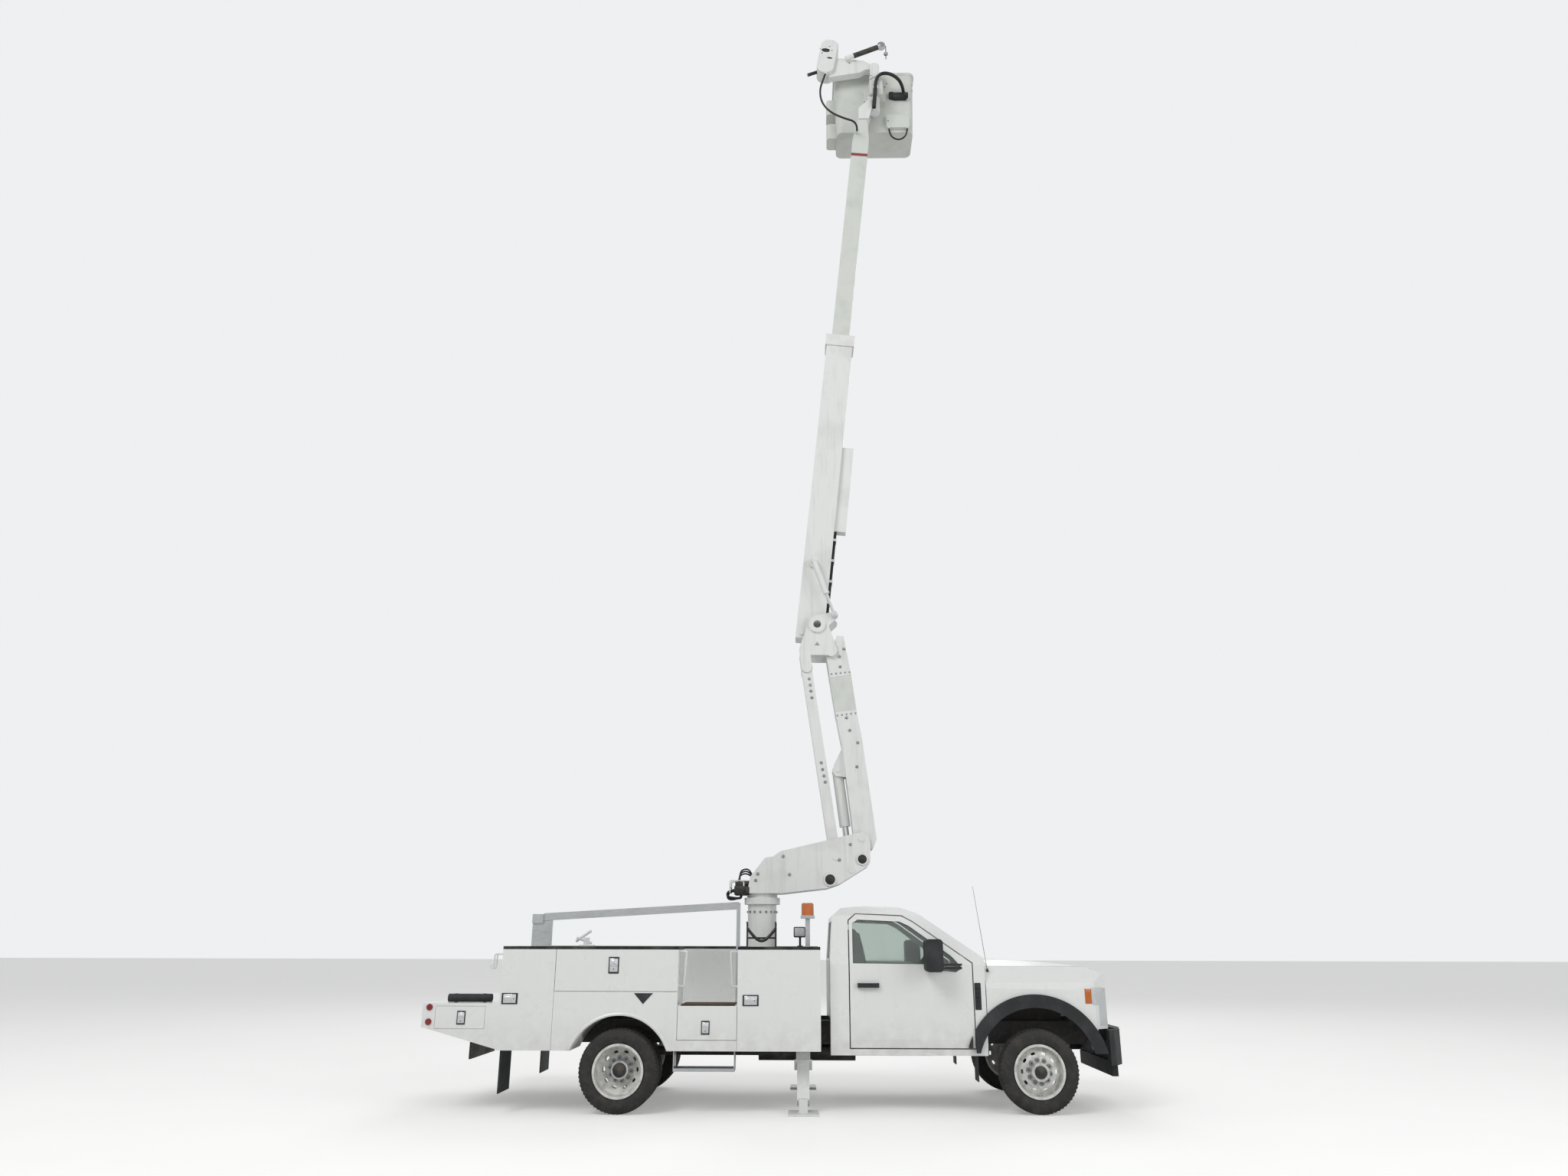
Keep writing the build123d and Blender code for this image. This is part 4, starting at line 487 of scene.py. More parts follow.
def add_bar(bm, start, end, radius, sides=24, end_radius=None, round_by=0.0):
    """Round bar or cone between two points."""
    start, end = Vector(start), Vector(end)
    along = end - start
    place = Matrix.Translation((start + end) / 2) @ along.to_track_quat("Z", "Y").to_matrix().to_4x4()
    tip = radius if end_radius is None else end_radius
    made = bmesh.ops.create_cone(
        bm, cap_ends=True, segments=sides, radius1=radius, radius2=tip, depth=along.length, matrix=place
    )["verts"]
    if round_by:
        rims = [e for e in {e for v in made for e in v.link_edges} if any(len(f.verts) > 4 for f in e.link_faces)]
        bmesh.ops.bevel(
            bm,
            geom=rims,
            offset=round_by,
            segments=2,
            profile=0.5,
            affect="EDGES",
            clamp_overlap=True,
        )


def add_turning(bm, centre, axis, profile, sides=64, wave=None):
    """Closed profile of (along, radius) pairs turned about an axis; wave shifts radii by turn and index."""
    axis = Vector(axis).normalized()
    across = axis.orthogonal().normalized()
    other = axis.cross(across)
    rings = []
    for step in range(sides):
        angle = 2 * pi * step / sides
        ray = across * cos(angle) + other * sin(angle)
        rings.append([
            bm.verts.new(Vector(centre) + axis * along + ray * (radius + (wave(step, index) if wave else 0.0)))
            for index, (along, radius) in enumerate(profile)
        ])
    count = len(profile)
    for step in range(sides):
        here, there = rings[step], rings[(step + 1) % sides]
        for index in range(count):
            after = (index + 1) % count
            bm.faces.new((here[index], here[after], there[after], there[index]))


def add_pipe(bm, points, radius, sides=12):
    """Bent rod through points, its corners rounded by a smooth curve."""
    curve = bpy.data.curves.new("pipe", "CURVE")
    curve.dimensions = "3D"
    spline = curve.splines.new("NURBS")
    spline.points.add(len(points) - 1)
    for point, place in zip(spline.points, points):
        point.co = (*place, 1.0)
    spline.order_u = 3
    spline.use_endpoint_u = True
    spline.resolution_u = 6
    curve.bevel_depth = radius
    curve.bevel_resolution = max(1, sides // 4 - 1)
    curve.use_fill_caps = True
    holder = bpy.data.objects.new("pipe", curve)
    bpy.context.scene.collection.objects.link(holder)
    mesh = bpy.data.meshes.new_from_object(holder.evaluated_get(bpy.context.evaluated_depsgraph_get()))
    bm.from_mesh(mesh)
    bpy.data.objects.remove(holder)
    bpy.data.curves.remove(curve)
    bpy.data.meshes.remove(mesh)


def outward(bm):
    bmesh.ops.remove_doubles(bm, verts=bm.verts, dist=1e-5)
    bmesh.ops.recalc_face_normals(bm, faces=bm.faces)


def make_piece(name, bm, material, body, smooth=True):
    """Turns a bmesh into a finished piece that rides on a body."""
    outward(bm)
    mesh = bpy.data.meshes.new(name)
    bm.to_mesh(mesh)
    bm.free()
    return settle(name, mesh, material, body, smooth)


def settle(name, mesh, material, body, smooth=True):
    mesh.materials.clear()
    mesh.materials.append(FINISH[material])
    if smooth:
        mesh.shade_smooth()
        mesh.set_sharp_from_angle(angle=radians(35))
    piece = bpy.data.objects.new(name, mesh)
    bpy.context.scene.collection.objects.link(piece)
    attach(piece, body)
    return piece


FINISH = {}
SURFACES = {}
SLOT_FINISH = {
    "body_white": "enamel",
    "arm_white": "arm",
    "fibreglass_white": "gelcoat",
    "black_plastic": "plastic",
    "black_steel": "chassis",
    "treads_black": "grit",
    "aluminium": "aluminium",
    "rod_chrome": "chrome",
    "wheel_white": "wheel",
    "tyre_rubber": "rubber",
    "glass_clear": "glass",
    "lamp_lens": "lens",
    "seat_vinyl": "vinyl",
    "line_steel": "zinc",
    "engine_iron": "iron",
    "hose_black": "hose",
}


class TruckStage(bpy.types.PropertyGroup):
    floor_size: bpy.props.FloatProperty(
        name="Floor size",
        description="Side of the floor paper",
        default=220.0,
        unit="LENGTH",
    )
    floor_colour: bpy.props.StringProperty(
        name="Floor colour", description="Colour of the floor paper", default="#F2F2F0"
    )
    key_power: bpy.props.FloatProperty(
        name="Key light",
        description="Power of the large key light",
        default=1700.0,
        unit="POWER",
    )
    fill_power: bpy.props.FloatProperty(
        name="Fill light",
        description="Power of the fill light",
        default=750.0,
        unit="POWER",
    )
    sky_strength: bpy.props.FloatProperty(
        name="Sky",
        description="Strength of the even sky light",
        default=0.42,
    )


class TruckPaint(bpy.types.PropertyGroup):
    body: bpy.props.StringProperty(
        name="Body",
        description="Enamel colour of cab and packs",
        default="#E9EAE8",
    )
    arm: bpy.props.StringProperty(
        name="Arm",
        description="Paint colour of the boom and turret",
        default="#E4E5E3",
    )
    gelcoat: bpy.props.StringProperty(
        name="Gelcoat",
        description="Colour of bucket and inner boom",
        default="#D6D9D3",
    )
    plastic: bpy.props.StringProperty(
        name="Plastic",
        description="Colour of bumper, flares and mirrors",
        default="#17181A",
    )
    chassis: bpy.props.StringProperty(
        name="Chassis",
        description="Colour of frame and axles",
        default="#1B1A19",
    )
    red: bpy.props.StringProperty(name="Lamp red", description="Colour of the rear lamps", default="#9E1414")
    amber: bpy.props.StringProperty(
        name="Amber",
        description="Colour of markers and beacon",
        default="#D9700E",
    )


class TruckHoses(bpy.types.PropertyGroup):
    winch_bore: bpy.props.FloatProperty(
        name="Winch hose",
        description="Outer diameter of the winch hose",
        default=0.028,
        unit="LENGTH",
    )
    control_bore: bpy.props.FloatProperty(
        name="Control hose",
        description="Outer diameter of the sleeved bundle",
        default=0.048,
        unit="LENGTH",
    )
    tool_bore: bpy.props.FloatProperty(
        name="Tool hose",
        description="Outer diameter of the tool hose loop",
        default=0.024,
        unit="LENGTH",
    )


class TruckTyre(bpy.types.PropertyGroup):
    radius: bpy.props.FloatProperty(
        name="Radius",
        description="Outer radius of a tyre",
        default=0.404,
        unit="LENGTH",
    )
    width: bpy.props.FloatProperty(
        name="Width",
        description="Section width of a tyre",
        default=0.226,
        unit="LENGTH",
    )
    rim_radius: bpy.props.FloatProperty(
        name="Bead radius",
        description="Radius where the tyre meets its rim",
        default=0.262,
        unit="LENGTH",
    )
    lugs: bpy.props.IntProperty(
        name="Shoulder lugs",
        description="Number of tread lugs round a shoulder",
        default=60,
    )
    groove: bpy.props.FloatProperty(
        name="Groove",
        description="Depth of the tread grooves",
        default=0.011,
        unit="LENGTH",
    )


class TruckBolts(bpy.types.PropertyGroup):
    wheel_nut: bpy.props.FloatProperty(
        name="Wheel nut",
        description="Radius of a wheel nut",
        default=0.019,
        unit="LENGTH",
    )
    nut_ring: bpy.props.FloatProperty(
        name="Nut ring",
        description="Radius of the ring of wheel nuts",
        default=0.1125,
        unit="LENGTH",
    )
    frame_bolt: bpy.props.FloatProperty(
        name="Frame bolt",
        description="Radius of a frame bolt's head",
        default=0.014,
        unit="LENGTH",
    )


class TruckHardware(bpy.types.PropertyGroup):
    latch_size: bpy.props.FloatVectorProperty(
        name="Latch", description="Length and height of a paddle latch", default=(0.165, 0.108), size=2, unit="LENGTH"
    )
    handhold_bore: bpy.props.FloatProperty(
        name="Handhold",
        description="Diameter of a handhold",
        default=0.026,
        unit="LENGTH",
    )
    seat_crown: bpy.props.FloatProperty(
        name="Seat crown",
        description="Swell of a seat pad",
        default=0.022,
        unit="LENGTH",
    )


class TRUCK_OT_finishes(bpy.types.Operator):
    """Mixes each finish and puts it on the frame's nodes"""

    bl_idname = "truck.finishes"
    bl_label = "Finishes"

    def execute(self, context):
        paint = context.scene.truck_paint
        FINISH.update(
            enamel=body_enamel(paint.body),
            arm=arm_enamel(paint.arm),
            gelcoat=gelcoat(paint.gelcoat),
            plastic=moulded_black(paint.plastic),
            chassis=chassis_black(paint.chassis),
            grit=grip_surface("#161616"),
            aluminium=bare_aluminium("#C3C5C6"),
            chrome=hard_chrome("#DDDFE0"),
            wheel=wheel_enamel("#DCDCD8"),
            rubber=tyre_rubber("#1C1B1A"),
            glass=tinted_glass("#DDE6E1"),
            lens=lamp_lens("#EEF1F2", paint.red, paint.amber),
            vinyl=grained_vinyl("#45464A"),
            zinc=zinc_steel("#84878A"),
            iron=cast_iron("#55534F"),
            hose=hose_rubber("#19191A"),
            red=dyed_lens("red_lens", paint.red),
            amber=dyed_lens("amber_lens", paint.amber),
            clear=dyed_lens("clear_work_lamp_lens", "#E4E9EA"),
            coir=coir_mat("#5B4330"),
        )
        for part in frame["record"]["subparts"]:
            finish = FINISH[SLOT_FINISH[part["material_slot"]]]
            for slot in bpy.data.objects[part["node"]].material_slots:
                slot.material = finish
        return {"FINISHED"}


class TRUCK_OT_stage(bpy.types.Operator):
    """Sets the pale floor, the soft lights, the sky and the camera"""

    bl_idname = "truck.stage"
    bl_label = "Studio stage"

    def execute(self, context):
        stage = context.scene.truck_stage
        half = stage.floor_size / 2
        mesh = bpy.data.meshes.new("floor")
        mesh.from_pydata(
            [(-half, -half, 0), (half, -half, 0), (half, half, 0), (-half, half, 0)],
            [],
            [(0, 1, 2, 3)],
        )
        mesh.materials.append(studio_floor(stage.floor_colour))
        floor = bpy.data.objects.new("floor", mesh)
        context.scene.collection.objects.link(floor)
        for name, place, power, size in (
            ("key", (-9.0, -16.0, 17.0), stage.key_power, 9.0),
            ("fill", (13.0, -12.0, 8.0), stage.fill_power, 10.0),
            ("back", (2.0, 15.0, 16.0), stage.fill_power, 9.0),
        ):
            lamp = bpy.data.lights.new(name, "AREA")
            lamp.energy = power
            lamp.size = size
            holder = bpy.data.objects.new(name, lamp)
            holder.location = place
            aim = Vector((0, 0, 5.0)) - Vector(place)
            holder.rotation_euler = aim.to_track_quat("-Z", "Y").to_euler()
            context.scene.collection.objects.link(holder)
        self.make_sky(context, stage.sky_strength)
        self.place_camera(context)
        context.scene.view_settings.view_transform = "Standard"
        return {"FINISHED"}

    def make_sky(self, context, strength):
        world = bpy.data.worlds.new("studio_sky")
        context.scene.world = world
        world.use_nodes = True
        tree = world.node_tree
        tree.nodes.clear()
        even = add_node(tree, "ShaderNodeBackground", {"Color": linear("#F4F6F8"), "Strength": strength})
        seen = add_node(tree, "ShaderNodeBackground", {"Color": linear("#EEF0F1"), "Strength": 1.0})
        rays = add_node(tree, "ShaderNodeLightPath")
        direct = add_node(
            tree,
            "ShaderNodeMath",
            links={0: rays.outputs["Is Camera Ray"], 1: rays.outputs["Is Glossy Ray"]},
            operation="MAXIMUM",
        )
        shown = add_node(
            tree,
            "ShaderNodeMath",
            links={0: direct.outputs[0], 1: rays.outputs["Is Transmission Ray"]},
            operation="MAXIMUM",
        )
        mix = add_node(
            tree, "ShaderNodeMixShader", links={0: shown.outputs[0], 1: even.outputs[0], 2: seen.outputs[0]}
        )
        add_node(tree, "ShaderNodeOutputWorld", links={"Surface": mix.outputs[0]})

    def place_camera(self, context):
        """Stands on the road beside the truck and looks up at its arm."""
        pitch, yaw, roll = radians(17.969), radians(0.983), radians(0.139)
        forward = Vector((-sin(yaw) * cos(pitch), cos(yaw) * cos(pitch), sin(pitch)))
        right = Vector((cos(yaw), sin(yaw), 0))
        up = right.cross(forward)
        side = right * cos(roll) + up * sin(roll)
        top = up * cos(roll) - right * sin(roll)
        lens = bpy.data.cameras.new("photo_view")
        lens.lens = 36 * 1432.23 / 2048
        lens.sensor_width = 36
        lens.clip_end = 400
        camera = bpy.data.objects.new("photo_view", lens)
        columns = Matrix((side, top, -forward)).transposed().to_4x4()
        camera.matrix_world = Matrix.Translation((0.2757, -13.2274, 1.6415)) @ columns
        context.scene.collection.objects.link(camera)
        context.scene.camera = camera


def nurbs_route(name, route, diameter):
    """A hose as one smooth curve through its control points, given in millimetres from the rear axle."""
    curve = bpy.data.curves.new(name, "CURVE")
    curve.dimensions = "3D"
    spline = curve.splines.new("NURBS")
    spline.points.add(len(route) - 1)
    for point, place in zip(spline.points, route):
        point.co = (*spot(*place), 1.0)
    spline.order_u = 3
    spline.use_endpoint_u = True
    spline.resolution_u = 12
    curve.bevel_depth = diameter / 2
    curve.bevel_resolution = 4
    curve.use_fill_caps = True
    curve.materials.append(FINISH["hose"])
    hose = bpy.data.objects.new(name, curve)
    bpy.context.scene.collection.objects.link(hose)
    return hose


class TRUCK_OT_hoses(bpy.types.Operator):
    """Hangs the three free hoses of the bucket and its lifting arm"""

    bl_idname = "truck.hoses"
    bl_label = "Hoses"

    def execute(self, context):
        sizes = context.scene.truck_hoses
        routes = {
            "winch_hose": (
                "jib",
                sizes.winch_bore,
                1.52,
                [
                    (2250, -90, 13915),
                    (2215, -120, 13780),
                    (2165, -170, 13560),
                    (2185, -230, 13290),
                    (2300, -300, 13050),
                    (2490, -345, 12900),
                    (2700, -322, 12846),
                    (2700, -150.3, 12846),
                ],
            ),
            "control_hose": (
                "bucket",
                sizes.control_bore,
                0.76,
                [
                    (2985, -138, 13640),
                    (2992, -140, 13780),
                    (3088, -146, 13885),
                    (3240, -132, 13868),
                    (3390, -50, 13790),
                    (3425, 117.7, 13750),
                ],
            ),
            "tool_hose": (
                "bucket",
                sizes.tool_bore,
                0.48,
                [
                    (3190, 130, 13109.7),
                    (3195, 130, 13050),
                    (3230, 132, 12960),
                    (3325, 130, 12905),
                    (3420, 132, 12960),
                    (3455, 130, 13050),
                    (3460, 130, 13109.7),
                ],
            ),
        }
        for name, (body, diameter, length, route) in routes.items():
            hose = nurbs_route(name + "_run", route, diameter)
            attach(hose, body)
            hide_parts(name)
        return {"FINISHED"}


class TRUCK_OT_tyres(bpy.types.Operator):
    """Turns each tyre with its grooves, ribs and shoulder lugs"""

    bl_idname = "truck.tyres"
    bl_label = "Tyres"

    def execute(self, context):
        tyre = context.scene.truck_tyre
        for node, body in (
            ("tyre_front_left", "front_wheel_left"),
            ("tyre_front_right", "front_wheel_right"),
            ("tyres_rear_left", "rear_wheels_left"),
            ("tyres_rear_right", "rear_wheels_right"),
        ):
            low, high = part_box(node)
            width = high[1] - low[1]
            middles = [(low[1] + high[1]) / 2]
            if width > tyre.width * 1.5:
                middles = [low[1] + tyre.width / 2, high[1] - tyre.width / 2]
            bm = bmesh.new()
            for along in middles:
                centre = ((low[0] + high[0]) / 2, along, (low[2] + high[2]) / 2)
                self.add_tyre(bm, centre, tyre)
            piece = make_piece(node + "_tread", bm, "rubber", body)
            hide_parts(node)
        return {"FINISHED"}

    def add_tyre(self, bm, centre, tyre):
        """A closed section turned about the axle: bead, bulged sidewall, ribs and tread."""
        half, top, bead = tyre.width / 2, tyre.radius, tyre.rim_radius
        wall = [
            (-0.70, bead - 0.020),
            (-0.78, bead - 0.006),
            (-0.86, bead + 0.006),
            (-0.92, bead + 0.012),
            (-0.94, bead + 0.022),
            (-0.985, bead + 0.045),
            (-1.0, bead + 0.064),
            (-0.995, bead + 0.082),
            (-0.975, bead + 0.088),
            (-0.975, bead + 0.094),
            (-0.95, bead + 0.106),
            (-0.90, top - 0.022),
            (-0.875, top - 0.012),
        ]
        rows = [-0.80, -0.50, -0.46, -0.38, -0.34, -0.07, -0.03, 0.03, 0.07, 0.34, 0.38, 0.46, 0.50, 0.80]
        low_rows = {2, 3, 6, 7, 10, 11}
        crown = []
        for index, row in enumerate(rows):
            drop = tyre.groove if index in low_rows else 0.0
            crown.append((row * half, top - 0.004 * row * row - drop))
        outer = [(part * half, radius) for part, radius in wall]
        mirrored = [(-along, radius) for along, radius in reversed(outer)]
        inside = [(half * 0.62, bead - 0.012), (half * 0.80, bead + 0.07), (half * 0.66, top - 0.03)]
        inner = inside + [(-along, radius) for along, radius in reversed(inside)]
        profile = outer + crown + mirrored + inner
        shoulder = {len(outer) - 1, len(outer) - 2, len(outer), len(outer) + len(crown) - 1}
        shoulder |= {len(outer) + len(crown), len(outer) + len(crown) + 1}

        def lug(step, index):
            return -0.007 if index in shoulder and step % 4 in (2, 3) else 0.0

        add_turning(bm, centre, (0, 1, 0), profile, sides=tyre.lugs * 4, wave=lug)


def bolt_tree():
    """Hexagon heads and washers on points, each turned to the point's facing, as one plain mesh."""
    tree = bpy.data.node_groups.new("bolt_heads", "GeometryNodeTree")
    face = tree.interface
    face.new_socket("Points", in_out="INPUT", socket_type="NodeSocketGeometry")
    for name, value in (("Head radius", 0.014), ("Head height", 0.012), ("Washer radius", 0.02)):
        face.new_socket(name, in_out="INPUT", socket_type="NodeSocketFloat").default_value = value
    face.new_socket("Finish", in_out="INPUT", socket_type="NodeSocketMaterial")
    face.new_socket("Bolts", in_out="OUTPUT", socket_type="NodeSocketGeometry")
    given = add_node(tree, "NodeGroupInput")
    radius, height, washer = (given.outputs[n] for n in ("Head radius", "Head height", "Washer radius"))
    head = add_node(tree, "GeometryNodeMeshCone", {"Vertices": 6}, {"Radius Bottom": radius, "Depth": height})
    narrow = add_node(tree, "ShaderNodeMath", {1: 0.86}, {0: radius}, operation="MULTIPLY")
    tree.links.new(narrow.outputs[0], head.inputs["Radius Top"])
    thin = add_node(tree, "ShaderNodeMath", {1: 0.22}, {0: height}, operation="MULTIPLY")
    plate = add_node(
        tree,
        "GeometryNodeMeshCylinder",
        {"Vertices": 12},
        {"Radius": washer, "Depth": thin.outputs[0]},
    )
    both = add_node(tree, "GeometryNodeJoinGeometry")
    tree.links.new(head.outputs["Mesh"], both.inputs[0])
    tree.links.new(plate.outputs["Mesh"], both.inputs[0])
    facing = add_node(tree, "GeometryNodeInputNamedAttribute", {"Name": "facing"}, data_type="FLOAT_VECTOR")
    turn = add_node(
        tree,
        "FunctionNodeAlignRotationToVector",
        links={"Vector": facing.outputs["Attribute"]},
        axis="Z",
    )
    placed = add_node(
        tree,
        "GeometryNodeInstanceOnPoints",
        links={"Points": given.outputs["Points"], "Instance": both.outputs[0], "Rotation": turn.outputs[0]},
    )
    real = add_node(tree, "GeometryNodeRealizeInstances", links={"Geometry": placed.outputs[0]})
    done = add_node(
        tree,
        "GeometryNodeSetMaterial",
        links={"Geometry": real.outputs[0], "Material": given.outputs["Finish"]},
    )
    add_node(tree, "NodeGroupOutput", links={"Bolts": done.outputs[0]})
    return tree


def bolt_up(name, places, radius, height, material, body, washer=1.4):
    """Puts bolt heads at places, each a point and the way it faces, and makes them one plain piece."""
    mesh = bpy.data.meshes.new(name + "_points")
    mesh.from_pydata([tuple(point) for point, _ in places], [], [])
    facing = mesh.attributes.new("facing", "FLOAT_VECTOR", "POINT")
    for item, (_, way) in zip(facing.data, places):
        item.vector = Vector(way).normalized()
    holder = bpy.data.objects.new(name + "_points", mesh)
    bpy.context.scene.collection.objects.link(holder)
    tree = bpy.data.node_groups.get("bolt_heads") or bolt_tree()
    modifier = holder.modifiers.new("bolts", "NODES")
    modifier.node_group = tree
    values = {
        "Head radius": radius,
        "Head height": height,
        "Washer radius": radius * washer,
        "Finish": FINISH[material],
    }
    for socket in tree.interface.items_tree:
        if socket.in_out == "INPUT" and socket.name in values:
            modifier[socket.identifier] = values[socket.name]
    graph = bpy.context.evaluated_depsgraph_get()
    made = bpy.data.meshes.new_from_object(holder.evaluated_get(graph))
    holder.modifiers.clear()
    bpy.data.objects.remove(holder)
    bm = bmesh.new()
    bm.from_mesh(made)
    bpy.data.meshes.remove(made)
    return make_piece(name, bm, material, body, smooth=False)


def ring_of(centre, axis, radius, count, first=0.0, sweep=2 * pi):
    """Points round a circle, each facing along its axis."""
    axis = Vector(axis).normalized()
    across = axis.orthogonal().normalized()
    other = axis.cross(across)
    step = sweep / count
    return [
        (Vector(centre) + (across * cos(first + n * step) + other * sin(first + n * step)) * radius, axis)
        for n in range(count)
    ]


def seat_on(node, start, way):
    """Where a straight line from a point first meets a node."""
    if node not in SURFACES:
        mesh = bpy.data.objects[node].data
        SURFACES[node] = BVHTree.FromPolygons(
            [v.co for v in mesh.vertices], [list(p.vertices) for p in mesh.polygons]
        )
    place = SURFACES[node].ray_cast(Vector(start), Vector(way).normalized())[0]
    if place is None:
        raise RuntimeError("nothing of " + node + " lies that way")
    return place


def seat_on_first(nodes, start, way):
    """Where a straight line first meets any of several nodes."""
    found = []
    for node in nodes:
        try:
            found.append(seat_on(node, start, way))
        except RuntimeError:
            continue
    if not found:
        raise RuntimeError("nothing of " + ", ".join(nodes) + " lies that way")
    return min(found, key=lambda place: (place - Vector(start)).length)


def skin_band(bm, node, point, along, reach, grow):
    """A thin sleeve over the part of a node within a reach of a plane, grown outward."""
    along = Vector(along).normalized()
    part = bmesh.new()
    part.from_mesh(bpy.data.objects[node].data)
    bmesh.ops.remove_doubles(part, verts=part.verts, dist=1e-5)
    for side in (1, -1):
        everything = list(part.verts) + list(part.edges) + list(part.faces)
        bmesh.ops.bisect_plane(
            part, geom=everything, plane_co=Vector(point) + along * side * reach, plane_no=along * side, clear_outer=True
        )
    bmesh.ops.recalc_face_normals(part, faces=part.faces)
    part.normal_update()
    inner = {vert: bm.verts.new(vert.co - vert.normal * grow * 0.2) for vert in part.verts}
    outer = {vert: bm.verts.new(vert.co + vert.normal * grow) for vert in part.verts}
    for face in part.faces:
        bm.faces.new([outer[v] for v in face.verts])
        bm.faces.new([inner[v] for v in reversed(face.verts)])
    for edge in part.edges:
        if len(edge.link_faces) == 1:
            a, b = edge.verts
            bm.faces.new((outer[a], outer[b], inner[b], inner[a]))
    part.free()


def drape_panel(bm, nodes, side, stations, heights, proud):
    """A thin panel laid over the side of some nodes, point by point, and closed round its edge."""
    low, high = heights
    rows = 6
    faces, backs = [], []
    for x in stations:
        front, rear = [], []
        for row in range(rows + 1):
            z = low + (high - low) * row / rows
            place = seat_on_first(nodes, (x, side * 1.6, z), (0, -side, 0))
            edge = row in (0, rows) or x in (stations[0], stations[-1])
            front.append(bm.verts.new(place + Vector((0, side * proud * (0.4 if edge else 1.0), 0))))
            rear.append(bm.verts.new(place - Vector((0, side * 0.004, 0))))
        faces.append(front)
        backs.append(rear)
    for grid in (faces, backs):
        for a, b in zip(grid, grid[1:]):
            for n in range(rows):
                bm.faces.new((a[n], a[n + 1], b[n + 1], b[n]))
    rim = [(c, 0) for c in range(len(stations))] + [(len(stations) - 1, r) for r in range(1, rows + 1)]
    rim += [(c, rows) for c in range(len(stations) - 2, -1, -1)] + [(0, r) for r in range(rows - 1, 0, -1)]
    for (c, r), (d, q) in zip(rim, rim[1:] + rim[:1]):
        bm.faces.new((faces[c][r], faces[d][q], backs[d][q], backs[c][r]))


class TRUCK_OT_wheel_nuts(bpy.types.Operator):
    """Puts ten nuts on each wheel's face, each with its stud end"""

    bl_idname = "truck.wheel_nuts"
    bl_label = "Wheel nuts"

    def execute(self, context):
        bolts = context.scene.truck_bolts
        for node, body in WHEELS:
            low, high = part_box(node)
            side = 1 if low[1] + high[1] > 0 else -1
            middle_x, middle_z = (low[0] + high[0]) / 2, (low[2] + high[2]) / 2
            out = Vector((middle_x, side * 1.4, middle_z))
            places = []
            for point, _ in ring_of(out, (0, side, 0), bolts.nut_ring, 10, first=0.31):
                places.append((seat_on(node, point, (0, -side, 0)), (0, side, 0)))
            radius = bolts.wheel_nut
            bolt_up(node + "_nuts", places, radius, radius * 1.3, "zinc", body)
            bm = bmesh.new()
            for point, _ in places:
                add_bar(
                    bm,
                    point,
                    point + Vector((0, side * radius * 1.5, 0)),
                    radius * 0.5,
                    sides=12,
                    round_by=0.002,
                )
            make_piece(node + "_studs", bm, "iron", body)
        return {"FINISHED"}


class TRUCK_OT_latches(bpy.types.Operator):
    """Sets a paddle latch with its keyhole on each locker door"""

    bl_idname = "truck.latches"
    bl_label = "Latches"

    def execute(self, context):
        wide, tall = context.scene.truck_hardware.latch_size
        doors = (
            ("locker_door_rear_right", "locker_rear_right", -2.753, 1.096, -1, False),
            ("locker_door_front_right", "locker_front_right", -0.264, 1.084, -1, False),
            ("locker_door_long_right", "locker_long_right", -1.691, 1.424, -1, True),
            ("locker_door_small", "locker_small", -0.724, 0.822, -1, True),
            ("locker_door_shelf", "locker_shelf", -3.240, 0.910, -1, True),
            ("locker_door_rear_left", "locker_rear_left", -2.753, 1.096, 1, False),
            ("locker_door_front_left", "locker_front_left", -0.264, 1.084, 1, False),
            ("locker_door_long_left", "locker_long_left", -1.350, 1.424, 1, True),
        )
        for node, body, x, z, side, upright in doors:
            face = seat_on(node, (x, side * 1.4, z), (0, -side, 0)).y
            half_w, half_h = (tall / 2, wide / 2) if upright else (wide / 2, tall / 2)
            scale = 0.8 if node in ("locker_door_small", "locker_door_shelf") else 1.0
            half_w, half_h = half_w * scale, half_h * scale
            bm = bmesh.new()
            add_box(bm, (x - half_w, face, z - half_h), (x + half_w, face + side * 0.007, z + half_h), 0.003)
            make_piece(node + "_latch_plate", bm, "plastic", body)
            bm = bmesh.new()
            inner_w, inner_h = half_w * 0.80, half_h * 0.80
            add_box(
                bm,
                (x - inner_w, face, z - inner_h),
                (x + inner_w, face + side * 0.009, z + inner_h),
                0.004,
            )
            if upright:
                add_box(
                    bm,
                    (x - inner_w * 0.55, face + side * 0.007, z - inner_h * 0.2),
                    (x + inner_w * 0.55, face + side * 0.016, z + inner_h * 0.75),
                    0.003,
                )
                lock = Vector((x, face, z - inner_h * 0.55))
            else:
                add_box(
                    bm,
                    (x - inner_w * 0.75, face + side * 0.007, z - inner_h * 0.5),
                    (x + inner_w * 0.35, face + side * 0.016, z + inner_h * 0.5),
                    0.003,
                )
                lock = Vector((x + inner_w * 0.65, face, z))
            add_bar(bm, lock, lock + Vector((0, side * 0.014, 0)), 0.011, 20, round_by=0.002)
            make_piece(node + "_paddle", bm, "chrome", body)
            bm = bmesh.new()
            add_bar(
                bm,
                lock + Vector((0, side * 0.010, 0)),
                lock + Vector((0, side * 0.0155, 0)),
                0.006,
                16,
                round_by=0.001,
            )
            make_piece(node + "_keyhole", bm, "plastic", body)
        return {"FINISHED"}


